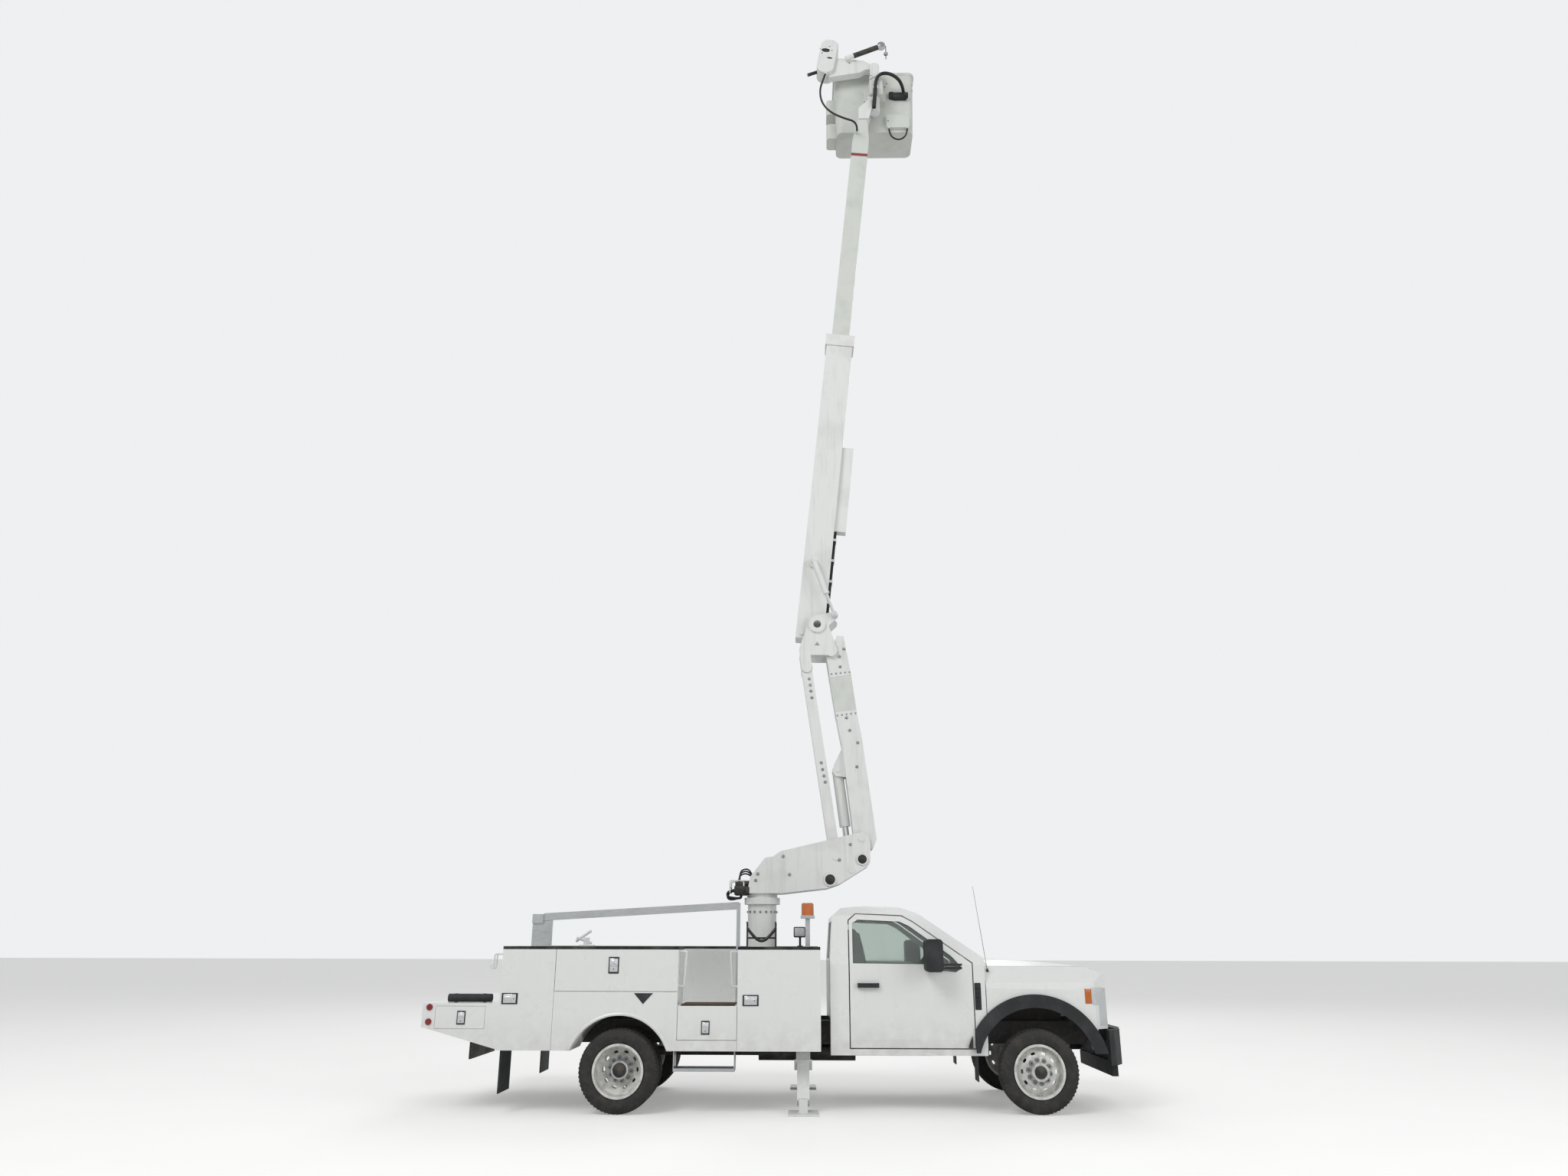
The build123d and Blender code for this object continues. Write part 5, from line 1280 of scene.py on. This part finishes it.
class TRUCK_OT_handholds(bpy.types.Operator):
    """Bends the white handholds by the walk-up opening and the hook behind the locker"""

    bl_idname = "truck.handholds"
    bl_label = "Handholds"

    def execute(self, context):
        radius = context.scene.truck_hardware.handhold_bore / 2
        bm = bmesh.new()
        for x, turn in ((-1.0, 1), (-0.424, -1)):
            top, foot = 1.560, 1.215
            route = [
                (x - turn * 0.02, -1.10, top),
                (x + turn * 0.03, -1.10, top),
                (x + turn * 0.055, -1.10, top),
            ]
            route += [(x + turn * 0.055, -1.10, top - 0.03), (x + turn * 0.045, -1.10, (top + foot) / 2)]
            route += [(x + turn * 0.035, -1.10, foot + 0.03), (x + turn * 0.035, -1.10, foot)]
            route += [(x + turn * 0.01, -1.10, foot), (x - turn * 0.02, -1.10, foot)]
            add_pipe(bm, route, radius)
        make_piece("opening_handholds", bm, "arm", "truck")
        bm = bmesh.new()
        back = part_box("side_pack_right")[0][0]
        for y in (-1.12, -1.02):
            route = [
                (back + 0.004, y, 1.53),
                (back - 0.05, y, 1.53),
                (back - 0.10, y, 1.53),
                (back - 0.105, y, 1.50),
            ]
            route += [
                (back - 0.105, y, 1.44),
                (back - 0.105, y, 1.395),
                (back - 0.13, y, 1.38),
                (back - 0.145, y, 1.42),
            ]
            add_pipe(bm, route, 0.008)
        add_bar(bm, (back - 0.07, -1.12, 1.53), (back - 0.07, -1.02, 1.53), 0.008, 12, round_by=0.001)
        make_piece("rope_hooks", bm, "arm", "truck")
        return {"FINISHED"}


class TRUCK_OT_deck_gear(bpy.types.Operator):
    """Sets the work lamp, pipe rack, folded bracket, shelf roll and side panel trims"""

    bl_idname = "truck.deck_gear"
    bl_label = "Deck gear"

    def execute(self, context):
        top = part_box("pack_treads")[1][2]
        bm = bmesh.new()
        for start, end in (((-2.16, 1.66), (-2.00, 1.77)), ((-2.15, 1.70), (-1.99, 1.64))):
            add_bar(bm, (start[0], -0.9, start[1]), (end[0], -0.9, end[1]), 0.014, 16, round_by=0.003)
        add_box(bm, (-2.12, -0.95, top - 0.002), (-1.96, -0.85, top + 0.014), 0.004)
        add_box(bm, (-2.075, -0.915, top), (-2.015, -0.885, top + 0.09), 0.006)
        make_piece("folded_bracket", bm, "arm", "truck")
        bm = bmesh.new()
        add_box(bm, (0.215, -0.79, top - 0.002), (0.275, -0.73, top + 0.012), 0.003)
        add_bar(bm, (0.245, -0.76, top), (0.245, -0.76, 1.72), 0.012, 16, round_by=0.002)
        add_box(bm, (0.175, -0.80, 1.705), (0.305, -0.72, 1.815), 0.014, steps=3)
        for z in (1.73, 1.76, 1.79):
            add_box(bm, (0.19, -0.722, z - 0.006), (0.29, -0.705, z + 0.006), 0.002)
        make_piece("work_lamp", bm, "plastic", "truck")
        bm = bmesh.new()
        add_box(bm, (0.186, -0.808, 1.716), (0.294, -0.796, 1.804), 0.006)
        make_piece("work_lamp_lens", bm, "clear", "truck")
        bm = bmesh.new()
        for x in (-0.33, -0.02):
            add_pipe(
                bm,
                [
                    (x, -0.70, top - 0.01),
                    (x, -0.70, 1.80),
                    (x, -0.70, 1.84),
                    (x, -0.72, 1.86),
                    (x, -0.80, 1.86),
                ],
                0.010,
            )
        add_bar(bm, (-0.33, -0.70, 1.70), (-0.02, -0.70, 1.70), 0.009, 16, round_by=0.001)
        add_pipe(
            bm,
            [
                (-0.33, -0.70, 1.80),
                (-0.25, -0.70, 1.70),
                (-0.175, -0.70, 1.66),
                (-0.10, -0.70, 1.70),
                (-0.02, -0.70, 1.80),
            ],
            0.016,
        )
        make_piece("pipe_rack", bm, "chassis", "truck")
        bm = bmesh.new()
        shelf = 1.052
        add_bar(bm, (-3.44, -1.02, shelf + 0.042), (-2.98, -1.02, shelf + 0.042), 0.041, 40, round_by=0.006)
        for x in (-3.36, -3.06):
            add_turning(
                bm,
                (x, -1.02, shelf + 0.042),
                (1, 0, 0),
                [(-0.015, 0.040), (0.015, 0.040), (0.015, 0.0435), (-0.015, 0.0435)],
                40,
            )
        make_piece("shelf_roll", bm, "plastic", "truck")
        bm = bmesh.new()
        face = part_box("side_pack_right")[0][1] + 0.012
        corners = [(-1.468, 1.152), (-1.272, 1.152), (-1.372, 1.046)]
        lower = [bm.verts.new((x, face + 0.002, z)) for x, z in corners]
        upper = [bm.verts.new((x, face - 0.004, z)) for x, z in corners]
        bm.faces.new(upper)
        bm.faces.new(list(reversed(lower)))
        for n in range(3):
            bm.faces.new((lower[n], lower[(n + 1) % 3], upper[(n + 1) % 3], upper[n]))
        make_piece("wheel_chock_slot", bm, "plastic", "truck", smooth=False)
        return {"FINISHED"}


class TRUCK_OT_cab_trim(bpy.types.Operator):
    """Adds the whip antenna and the vents behind the front wings"""

    bl_idname = "truck.cab_trim"
    bl_label = "Cab trim"

    def execute(self, context):
        bm = bmesh.new()
        foot = seat_on("front_clip", (2.235, -0.86, 2.0), (0, 0, -1))
        add_bar(
            bm,
            foot - Vector((0, 0, 0.004)),
            foot + Vector((-0.004, 0, 0.03)),
            0.016,
            24,
            end_radius=0.008,
            round_by=0.002,
        )
        add_bar(
            bm,
            foot + Vector((-0.003, 0, 0.02)),
            foot + Vector((-0.115, 0, 0.87)),
            0.0026,
            10,
            end_radius=0.0016,
        )
        make_piece("whip_antenna", bm, "plastic", "truck")
        for side, label in ((-1, "right"), (1, "left")):
            bm = bmesh.new()
            face = seat_on("cab_shell", (2.10, side * 1.4, 1.12), (0, -side, 0)).y
            add_box(
                bm,
                (2.068, face - side * 0.004, 0.99),
                (2.134, face + side * 0.008, 1.255),
                0.006,
                steps=3,
            )
            for row in range(5):
                z = 1.03 + row * 0.042
                add_box(bm, (2.076, face + side * 0.006, z), (2.126, face + side * 0.014, z + 0.022), 0.003)
            make_piece("wing_vent_" + label, bm, "plastic", "truck")
        return {"FINISHED"}


class TRUCK_OT_seats(bpy.types.Operator):
    """Pads the bench seat: three crowned cushions with three crowned backs"""

    bl_idname = "truck.seats"
    bl_label = "Seats"

    def execute(self, context):
        crown = context.scene.truck_hardware.seat_crown
        lean = Matrix.Rotation(radians(-10.8), 3, "Y")
        for index, (low_y, high_y) in enumerate(((-0.81, -0.29), (-0.27, 0.27), (0.29, 0.81))):
            for kind, low, high, turn in (
                ("cushion", (0.915, low_y, 1.165), (1.365, high_y, 1.262), Matrix.Identity(3)),
                ("back", (0.83, low_y, 1.262), (0.93, high_y, 1.76), lean),
            ):
                self.add_pad(f"seat_{kind}_{index + 1}", Vector(low), Vector(high), turn, crown, kind)
        return {"FINISHED"}

    def add_pad(self, name, low, high, turn, crown, kind):
        """A rounded block whose broad face swells between its pinched corners, with sewn channels."""
        bm = bmesh.new()
        add_box(bm, low, high, 0.03, turn=turn, steps=3)
        bmesh.ops.subdivide_edges(
            bm,
            edges=[e for e in bm.edges if e.calc_length() > 0.06],
            cuts=9,
            use_grid_fill=True,
        )
        centre, half = (low + high) / 2, (high - low) / 2
        thin = 2 if kind == "cushion" else 0
        broad = 0 if kind == "cushion" else 2
        back = turn.inverted()
        for vert in bm.verts:
            local = back @ (vert.co - centre)
            u, v = local.y / half.y, local[broad] / half[broad]
            swell = max(0.0, (1 - u * u)) * max(0.0, (1 - v * v))
            channel = -0.006 if abs((u * 3) % 1 - 0.5) < 0.06 and abs(v) < 0.8 else 0.0
            if local[thin] > 0:
                local[thin] += crown * swell + channel
            local.y *= 1 - 0.02 * (1 - v * v)
            vert.co = turn @ local + centre
        piece = make_piece(name, bm, "vinyl", "truck")


class TRUCK_OT_arm_bolts(bpy.types.Operator):
    """Bolts the arm's joints and fills its bores with dark pin ends"""

    bl_idname = "truck.arm_bolts"
    bl_label = "Arm bolts and pins"

    def execute(self, context):
        radius = context.scene.truck_bolts.frame_bolt
        groups = {
            "turret": [
                (0.051, 2.601),
                (0.828, 2.735),
                (0.700, 2.562),
                (-0.241, 2.405),
                (0.123, 2.397),
                (-0.265, 2.331),
            ],
            "riser": [
                (0.790, 5.090),
                (0.735, 4.994),
                (0.740, 4.865),
                (0.809, 4.234),
                (0.845, 4.081),
                (0.939, 3.932),
                (0.924, 3.644),
            ],
        }
        seams = [(0.635 + n * 0.055, 4.775 + n * 0.006) for n in range(5)]
        seams += [(0.700 + n * 0.055, 4.262 + n * 0.007) for n in range(5)]
        for node, spots in groups.items():
            self.bolt_sides(node + "_bolts", node, spots, radius)
        self.bolt_sides("riser_seam_bolts", "riser", seams, radius * 0.6)
        links = [(0.362, 4.708), (0.374, 4.632), (0.381, 4.558), (0.393, 4.476)]
        links += [(0.500, 3.687), (0.515, 3.608), (0.531, 3.532), (0.546, 3.459)]
        self.bolt_sides("link_bolts", "level_link", links, radius)
        ring = []
        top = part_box("pedestal")[1][2]
        post_x = spot(PEDESTAL_X, 0, 0).x
        for point, _ in ring_of((post_x, 0, top - 0.12), (0, 0, 1), 0.60, 28):
            inward = Vector((post_x, 0, point.z)) - point
            ring.append((seat_on("pedestal", point, inward), -inward))
        bolt_up("slewing_ring_bolts", ring, radius * 0.8, radius, "zinc", "truck")
        pins = bmesh.new()
        for x, z, size in ((0.963, 2.570, 0.051), (0.590, 2.342, 0.057)):
            add_bar(pins, (x, -0.222, z), (x, 0.222, z), size, 40, round_by=0.006)
            for side in (-1, 1):
                add_bar(pins, (x, side * 0.20, z), (x, side * 0.229, z), size * 0.55, 32, round_by=0.003)
        make_piece("turret_pin_ends", pins, "chassis", "turret")
        rings = bmesh.new()
        for x, z, size in ((0.963, 2.570, 0.066), (0.590, 2.342, 0.072)):
            for side in (-1, 1):
                low, high = sorted((side * 0.220, side * 0.231))
                add_turning(
                    rings,
                    (x, 0, z),
                    (0, 1, 0),
                    [(low, size - 0.014), (high, size - 0.014), (high, size), (low, size)],
                )
        make_piece("turret_pin_rims", rings, "arm", "turret")
        return {"FINISHED"}

    def bolt_sides(self, name, node, spots, radius):
        """Bolts the same spots on both sides of a node."""
        places = []
        for x, z in spots:
            for side in (-1, 1):
                places.append((seat_on(node, (x, side * 0.6, z), (0, -side, 0)), (0, side, 0)))
        bolt_up(name, places, radius, radius, "zinc", node)


class TRUCK_OT_valve_cluster(bpy.types.Operator):
    """Builds the valve bank behind the turret with its looped hoses"""

    bl_idname = "truck.valve_cluster"
    bl_label = "Valve bank"

    def execute(self, context):
        back = seat_on("turret", (-1.5, 0.2, 2.24), (1, 0, 0)).x
        bm = bmesh.new()
        for side in (-1, 1):
            add_box(
                bm,
                (back - 0.03, side * 0.2 - 0.02, 2.19),
                (back + 0.012, side * 0.2 + 0.02, 2.26),
                0.005,
            )
            add_box(
                bm,
                (back - 0.03, min(side * 0.13, side * 0.2), 2.20),
                (back - 0.018, max(side * 0.13, side * 0.2), 2.25),
                0.002,
            )
        add_box(bm, (back - 0.165, -0.15, 2.175), (back + 0.01, 0.15, 2.275), 0.008, steps=3)
        for n in range(5):
            y = -0.12 + n * 0.06
            add_box(bm, (back - 0.155, y - 0.022, 2.272), (back - 0.075, y + 0.022, 2.325), 0.006)
            add_bar(bm, (back - 0.115, y, 2.32), (back - 0.115, y, 2.356), 0.009, 16, round_by=0.002)
            add_bar(bm, (back - 0.185, y, 2.225), (back - 0.16, y, 2.225), 0.017, 6)
        for y in (-0.13, 0.13):
            add_bar(bm, (back - 0.05, y, 2.30), (back + 0.006, y, 2.30), 0.03, 24, round_by=0.005)
        make_piece("valve_bank", bm, "chassis", "turret")
        bm = bmesh.new()
        for n in range(5):
            y = -0.12 + n * 0.06
            dip = 0.03 + 0.014 * ((n * 3) % 4)
            route = [
                (back - 0.18, y, 2.225),
                (back - 0.225, y, 2.222),
                (back - 0.25, y, 2.19),
                (back - 0.245, y * 0.9, 2.175 - dip * 0.6),
            ]
            route += [
                (back - 0.19, y * 0.7, 2.165 - dip * 0.6),
                (back - 0.12, y * 0.6, 2.14),
                (back - 0.09, y * 0.55, 2.15),
                (back - 0.09, y * 0.55, 2.18),
            ]
            add_pipe(bm, route, 0.0105)
        for n, y in enumerate((-0.09, -0.03, 0.05)):
            rise = 0.03 * n
            route = [
                (back - 0.11, y, 2.33),
                (back - 0.12, y, 2.38 + rise),
                (back - 0.05, y, 2.42 + rise),
                (back + 0.01, y * 0.8, 2.40 + rise),
                (back + 0.05, y * 0.8, 2.37),
            ]
            add_pipe(bm, route, 0.009)
        make_piece("valve_bank_hoses", bm, "hose", "turret")
        bm = bmesh.new()
        for y in (-0.14, 0.14):
            add_pipe(
                bm,
                [
                    (back + 0.01, y, 2.33),
                    (back - 0.06, y, 2.335),
                    (back - 0.20, y, 2.335),
                    (back - 0.215, y, 2.33),
                    (back - 0.215, y, 2.28),
                    (back - 0.215, y, 2.20),
                ],
                0.007,
            )
        add_bar(bm, (back - 0.215, -0.145, 2.26), (back - 0.215, 0.145, 2.26), 0.007, 12, round_by=0.001)
        make_piece("valve_guard", bm, "arm", "turret")
        return {"FINISHED"}


class TRUCK_OT_boom_hoses(bpy.types.Operator):
    """Sleeves the three hoses on the boom's front face and straps them down"""

    bl_idname = "truck.boom_hoses"
    bl_label = "Boom hoses"

    def execute(self, context):
        along = Vector((sin(BOOM_LEAN), 0, cos(BOOM_LEAN)))
        square = Vector((cos(BOOM_LEAN), 0, -sin(BOOM_LEAN)))
        pivot = spot(*BOOM_PIVOT)
        bm = bmesh.new()
        for y in (-0.044, 0, 0.044):
            base = pivot + square * 0.1095 + Vector((0, y, 0))
            add_bar(bm, base + along * 0.139, base + along * 1.30, 0.0188, 24, round_by=0.003)
        make_piece("boom_hose_sleeves", bm, "hose", "outer_boom")
        bm = bmesh.new()
        for run in (0.34, 0.62, 0.90, 1.18):
            base = pivot + along * run
            turn = Matrix.Rotation(BOOM_LEAN, 3, "Y")
            middle_point = base + square * 0.131
            add_box(
                bm,
                middle_point - Vector((0.004, 0.078, 0.016)),
                middle_point + Vector((0.004, 0.078, 0.016)),
                0.002,
                turn=turn,
            )
            for side in (-1, 1):
                foot = base + square * 0.112 + Vector((0, side * 0.074, 0))
                add_box(
                    bm,
                    foot - Vector((0.021, 0.004, 0.016)),
                    foot + Vector((0.021, 0.004, 0.016)),
                    0.002,
                    turn=turn,
                )
        make_piece("boom_hose_straps", bm, "arm", "outer_boom")
        return {"FINISHED"}


class TRUCK_OT_jib_fittings(bpy.types.Operator):
    """Dresses the lifting arm: dark pole sleeve, winch vents, brake handle and bolts"""

    bl_idname = "truck.jib_fittings"
    bl_label = "Lifting arm fittings"

    def execute(self, context):
        foot, end = spot(*POLE_FOOT), spot(*POLE_END)
        way = (end - foot).normalized()
        bm = bmesh.new()
        add_bar(bm, foot + way * 0.12, end - way * 0.055, 0.0365, 36, round_by=0.004)
        make_piece("pole_sleeve", bm, "iron", "jib")
        bm = bmesh.new()
        for y in (-0.1285, -0.0715):
            add_bar(
                bm,
                end + Vector((0, y + 0.1 - 0.003, 0)),
                end + Vector((0, y + 0.1 + 0.003, 0)),
                0.052,
                36,
                round_by=0.001,
            )
            add_bar(
                bm,
                end + Vector((0, y + 0.1 - 0.008, 0)),
                end + Vector((0, y + 0.1 + 0.008, 0)),
                0.018,
                6,
            )
        make_piece("sheave_cheeks", bm, "zinc", "jib")
        bm = bmesh.new()
        grip_from, grip_to = spot(1988, 0, 13986.2), spot(2165, 0, 14055.6)
        add_bar(bm, grip_from, grip_to, 0.0235, 28, round_by=0.004)
        make_piece("brake_grip", bm, "plastic", "jib")
        face = -0.12
        tilt = Matrix.Rotation(radians(10), 3, "Y")
        bm = bmesh.new()
        for x, z, wide, tall in ((0.655, 14.335, 0.062, 0.034), (0.712, 14.190, 0.040, 0.014)):
            profile = [
                (face - 0.002, 0.001),
                (face - 0.002, wide),
                (face + 0.006, wide),
                (face + 0.006, 0.001),
            ]
            part = bmesh.new()
            add_turning(part, (0, 0, 0), (0, 1, 0), profile, 40)
            squeeze = Matrix.Diagonal((1, 1, tall / wide, 1))
            bmesh.ops.transform(
                part,
                matrix=Matrix.Translation((x, 0, z)) @ tilt.to_4x4() @ squeeze,
                verts=part.verts,
            )
            store = bpy.data.meshes.new("vent")
            part.to_mesh(store)
            part.free()
            bm.from_mesh(store)
            bpy.data.meshes.remove(store)
        make_piece("winch_vents", bm, "plastic", "jib")
        places = []
        for x, z in ((0.575, 14.375), (0.715, 14.405), (0.600, 14.285), (0.745, 14.33), (1.01, 14.15)):
            places.append((seat_on("jib", (x, -0.6, z), (0, 1, 0)), (0, -1, 0)))
        bolt_up("winch_bolts", places, 0.008, 0.007, "zinc", "jib")
        return {"FINISHED"}


class TRUCK_OT_bucket_fittings(bpy.types.Operator):
    """Puts the dark control cover, the hose boot and the bolts on the bucket"""

    bl_idname = "truck.bucket_fittings"
    bl_label = "Bucket fittings"

    def execute(self, context):
        bm = bmesh.new()
        wall = seat_on("bucket", spot(3350, -600, 13700), (0, 1, 0)).y
        low, high = spot(3255, 0, 13640), spot(3470, 0, 13745)
        add_box(bm, (low.x, wall - 0.075, low.z), (high.x, wall + 0.006, high.z), 0.022, steps=3)
        add_box(
            bm,
            (low.x - 0.05, wall - 0.05, low.z + 0.02),
            (low.x + 0.03, wall + 0.004, high.z + 0.03),
            0.016,
            steps=3,
        )
        add_box(
            bm,
            (high.x - 0.055, wall - 0.095, low.z + 0.012),
            (high.x + 0.018, wall - 0.02, high.z - 0.02),
            0.015,
            steps=3,
        )
        make_piece("control_cover", bm, "plastic", "bucket")
        bm = bmesh.new()
        route = [
            (2985, -150, 13655),
            (2982, -152, 13560),
            (2972, -156, 13460),
            (2962, -157, 13340),
            (2955, -150, 13250),
        ]
        add_pipe(bm, [spot(*place) for place in route], 0.030, 16)
        make_piece("control_boot", bm, "hose", "bucket")
        places = []
        for x, z in ((3180, 13960), (3560, 13960), (3560, 13860), (3180, 13240), (3150, 13900)):
            places.append((seat_on("bucket", spot(x, -600, z), (0, 1, 0)), (0, -1, 0)))
        bolt_up("bucket_bolts", places, 0.009, 0.008, "zinc", "bucket")
        return {"FINISHED"}


class TRUCK_OT_body_trims(bpy.types.Operator):
    """Rolls the white arch lips and lays the opening mat, lamp inserts and hub caps"""

    bl_idname = "truck.body_trims"
    bl_label = "Body trims"

    def execute(self, context):
        for side, label in ((-1, "right"), (1, "left")):
            bm = bmesh.new()
            route = []
            for n in range(0, 17):
                angle = radians(22) + n * radians(136) / 16
                route.append((AXLE_X + 0.548 * cos(angle), side * 1.208, HUB_Z + 0.548 * sin(angle)))
            add_pipe(bm, route, 0.016, 12)
            make_piece("arch_lip_" + label, bm, "enamel", "truck")
            bm = bmesh.new()
            drape_panel(
                bm,
                ("front_clip", "lamps", "hood"),
                side,
                [3.215 + n * 0.012 for n in range(7)],
                (1.052, 1.20),
                0.005,
            )
            make_piece("side_reflector_" + label, bm, "amber", "truck")
            bm = bmesh.new()
            drape_panel(
                bm,
                ("front_clip", "lamps", "hood"),
                side,
                [3.292 + n * 0.014 for n in range(10)],
                (1.040, 1.212),
                0.006,
            )
            make_piece("headlamp_wrap_" + label, bm, "clear", "truck")
        bm = bmesh.new()
        floor = seat_on("side_pack_right", (-0.71, -0.9, 1.5), (0, 0, -1)).z
        add_box(bm, (-0.985, -1.17, floor - 0.001), (-0.435, -0.68, floor + 0.014), 0.005)
        make_piece("opening_mat", bm, "coir", "truck")
        for node, body in WHEELS:
            low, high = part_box(node)
            side = 1 if low[1] + high[1] > 0 else -1
            front_wheel = "front" in node
            centre = Vector(((low[0] + high[0]) / 2, 0, (low[2] + high[2]) / 2))
            start = centre + Vector((0.070, side * 1.4, 0))
            face = seat_on(node, start, (0, -side, 0)).y
            reach = 0.062 if front_wheel else 0.070
            cap = [
                (0.0, reach),
                (0.012, reach),
                (0.02, reach * 0.92),
                (0.026, reach * 0.55),
                (0.028, 0.001),
                (0.0, 0.001),
            ]
            profile = [(side * along + face, radius) for along, radius in cap]
            bm = bmesh.new()
            add_turning(bm, (centre.x, 0, centre.z), (0, 1, 0), profile, 48)
            make_piece(node + "_hub_cap", bm, "chassis", body)
        return {"FINISHED"}


class TRUCK_OT_boom_bands(bpy.types.Operator):
    """Wraps the red reach band and the seams round the telescoping boom"""

    bl_idname = "truck.boom_bands"
    bl_label = "Boom bands"

    def execute(self, context):
        lean = (spot(2800, 0, 13156) - spot(*BOOM_PIVOT)).normalized()
        self.band("reach_band", "inner_boom", 12.484, lean, 0.021, 0.0016, "red", "inner_boom", "lamp_lens")
        self.band(
            "reach_band_edges",
            "inner_boom",
            12.484,
            lean,
            0.033,
            0.0010,
            "aluminium",
            "inner_boom",
            "aluminium",
        )
        self.band(
            "insert_seam_low",
            "riser",
            4.285,
            self.riser_way(),
            0.012,
            0.002,
            "arm",
            "riser",
            "arm_white",
        )
        self.band(
            "insert_seam_high",
            "riser",
            4.745,
            self.riser_way(),
            0.012,
            0.002,
            "arm",
            "riser",
            "arm_white",
        )
        self.band(
            "insert_sleeve",
            "riser",
            4.515,
            self.riser_way(),
            0.215,
            0.001,
            "gelcoat",
            "riser",
            "fibreglass_white",
        )
        return {"FINISHED"}

    def riser_way(self):
        return (spot(2240, 0, 5063) - spot(2571, 0, 2570)).normalized()

    def band(self, name, node, height, along, reach, grow, finish, body, slot):
        middle_point = seat_on(node, (-3.0, 0, height), (1, 0, 0))
        bm = bmesh.new()
        skin_band(bm, node, middle_point, along, reach, grow)
        make_piece(name, bm, finish, body, smooth=False)


OPERATORS = (
    TRUCK_OT_finishes,
    TRUCK_OT_stage,
    TRUCK_OT_hoses,
    TRUCK_OT_tyres,
    TRUCK_OT_wheel_nuts,
    TRUCK_OT_latches,
    TRUCK_OT_handholds,
    TRUCK_OT_deck_gear,
    TRUCK_OT_cab_trim,
    TRUCK_OT_seats,
    TRUCK_OT_arm_bolts,
    TRUCK_OT_boom_bands,
    TRUCK_OT_valve_cluster,
    TRUCK_OT_boom_hoses,
    TRUCK_OT_jib_fittings,
    TRUCK_OT_bucket_fittings,
    TRUCK_OT_body_trims,
)
GROUPS = {
    "truck_stage": TruckStage,
    "truck_paint": TruckPaint,
    "truck_hoses": TruckHoses,
    "truck_tyre": TruckTyre,
    "truck_bolts": TruckBolts,
    "truck_hardware": TruckHardware,
}


class TRUCK_PT_pieces(bpy.types.Panel):
    """Lists the truck's sizes and its pieces"""

    bl_label = "Cherry Picker Truck"
    bl_idname = "TRUCK_PT_pieces"
    bl_space_type = "VIEW_3D"
    bl_region_type = "UI"
    bl_category = "Truck"

    def draw(self, context):
        layout = self.layout
        for name, group in GROUPS.items():
            box = layout.box()
            for prop in group.bl_rna.properties:
                if prop.identifier not in ("rna_type", "name"):
                    box.prop(getattr(context.scene, name), prop.identifier)
        for operator in OPERATORS:
            layout.operator(operator.bl_idname)


def register():
    for name, group in GROUPS.items():
        bpy.utils.register_class(group)
        setattr(bpy.types.Scene, name, bpy.props.PointerProperty(type=group))
    for operator in OPERATORS:
        bpy.utils.register_class(operator)
    bpy.utils.register_class(TRUCK_PT_pieces)


def unregister():
    bpy.utils.unregister_class(TRUCK_PT_pieces)
    for operator in reversed(OPERATORS):
        bpy.utils.unregister_class(operator)
    for name, group in reversed(list(GROUPS.items())):
        delattr(bpy.types.Scene, name)
        bpy.utils.unregister_class(group)


def main():
    register()
    for operator in OPERATORS:
        family, name = operator.bl_idname.split(".")
        getattr(getattr(bpy.ops, family), name)()


if __name__ == "__main__":
    main()
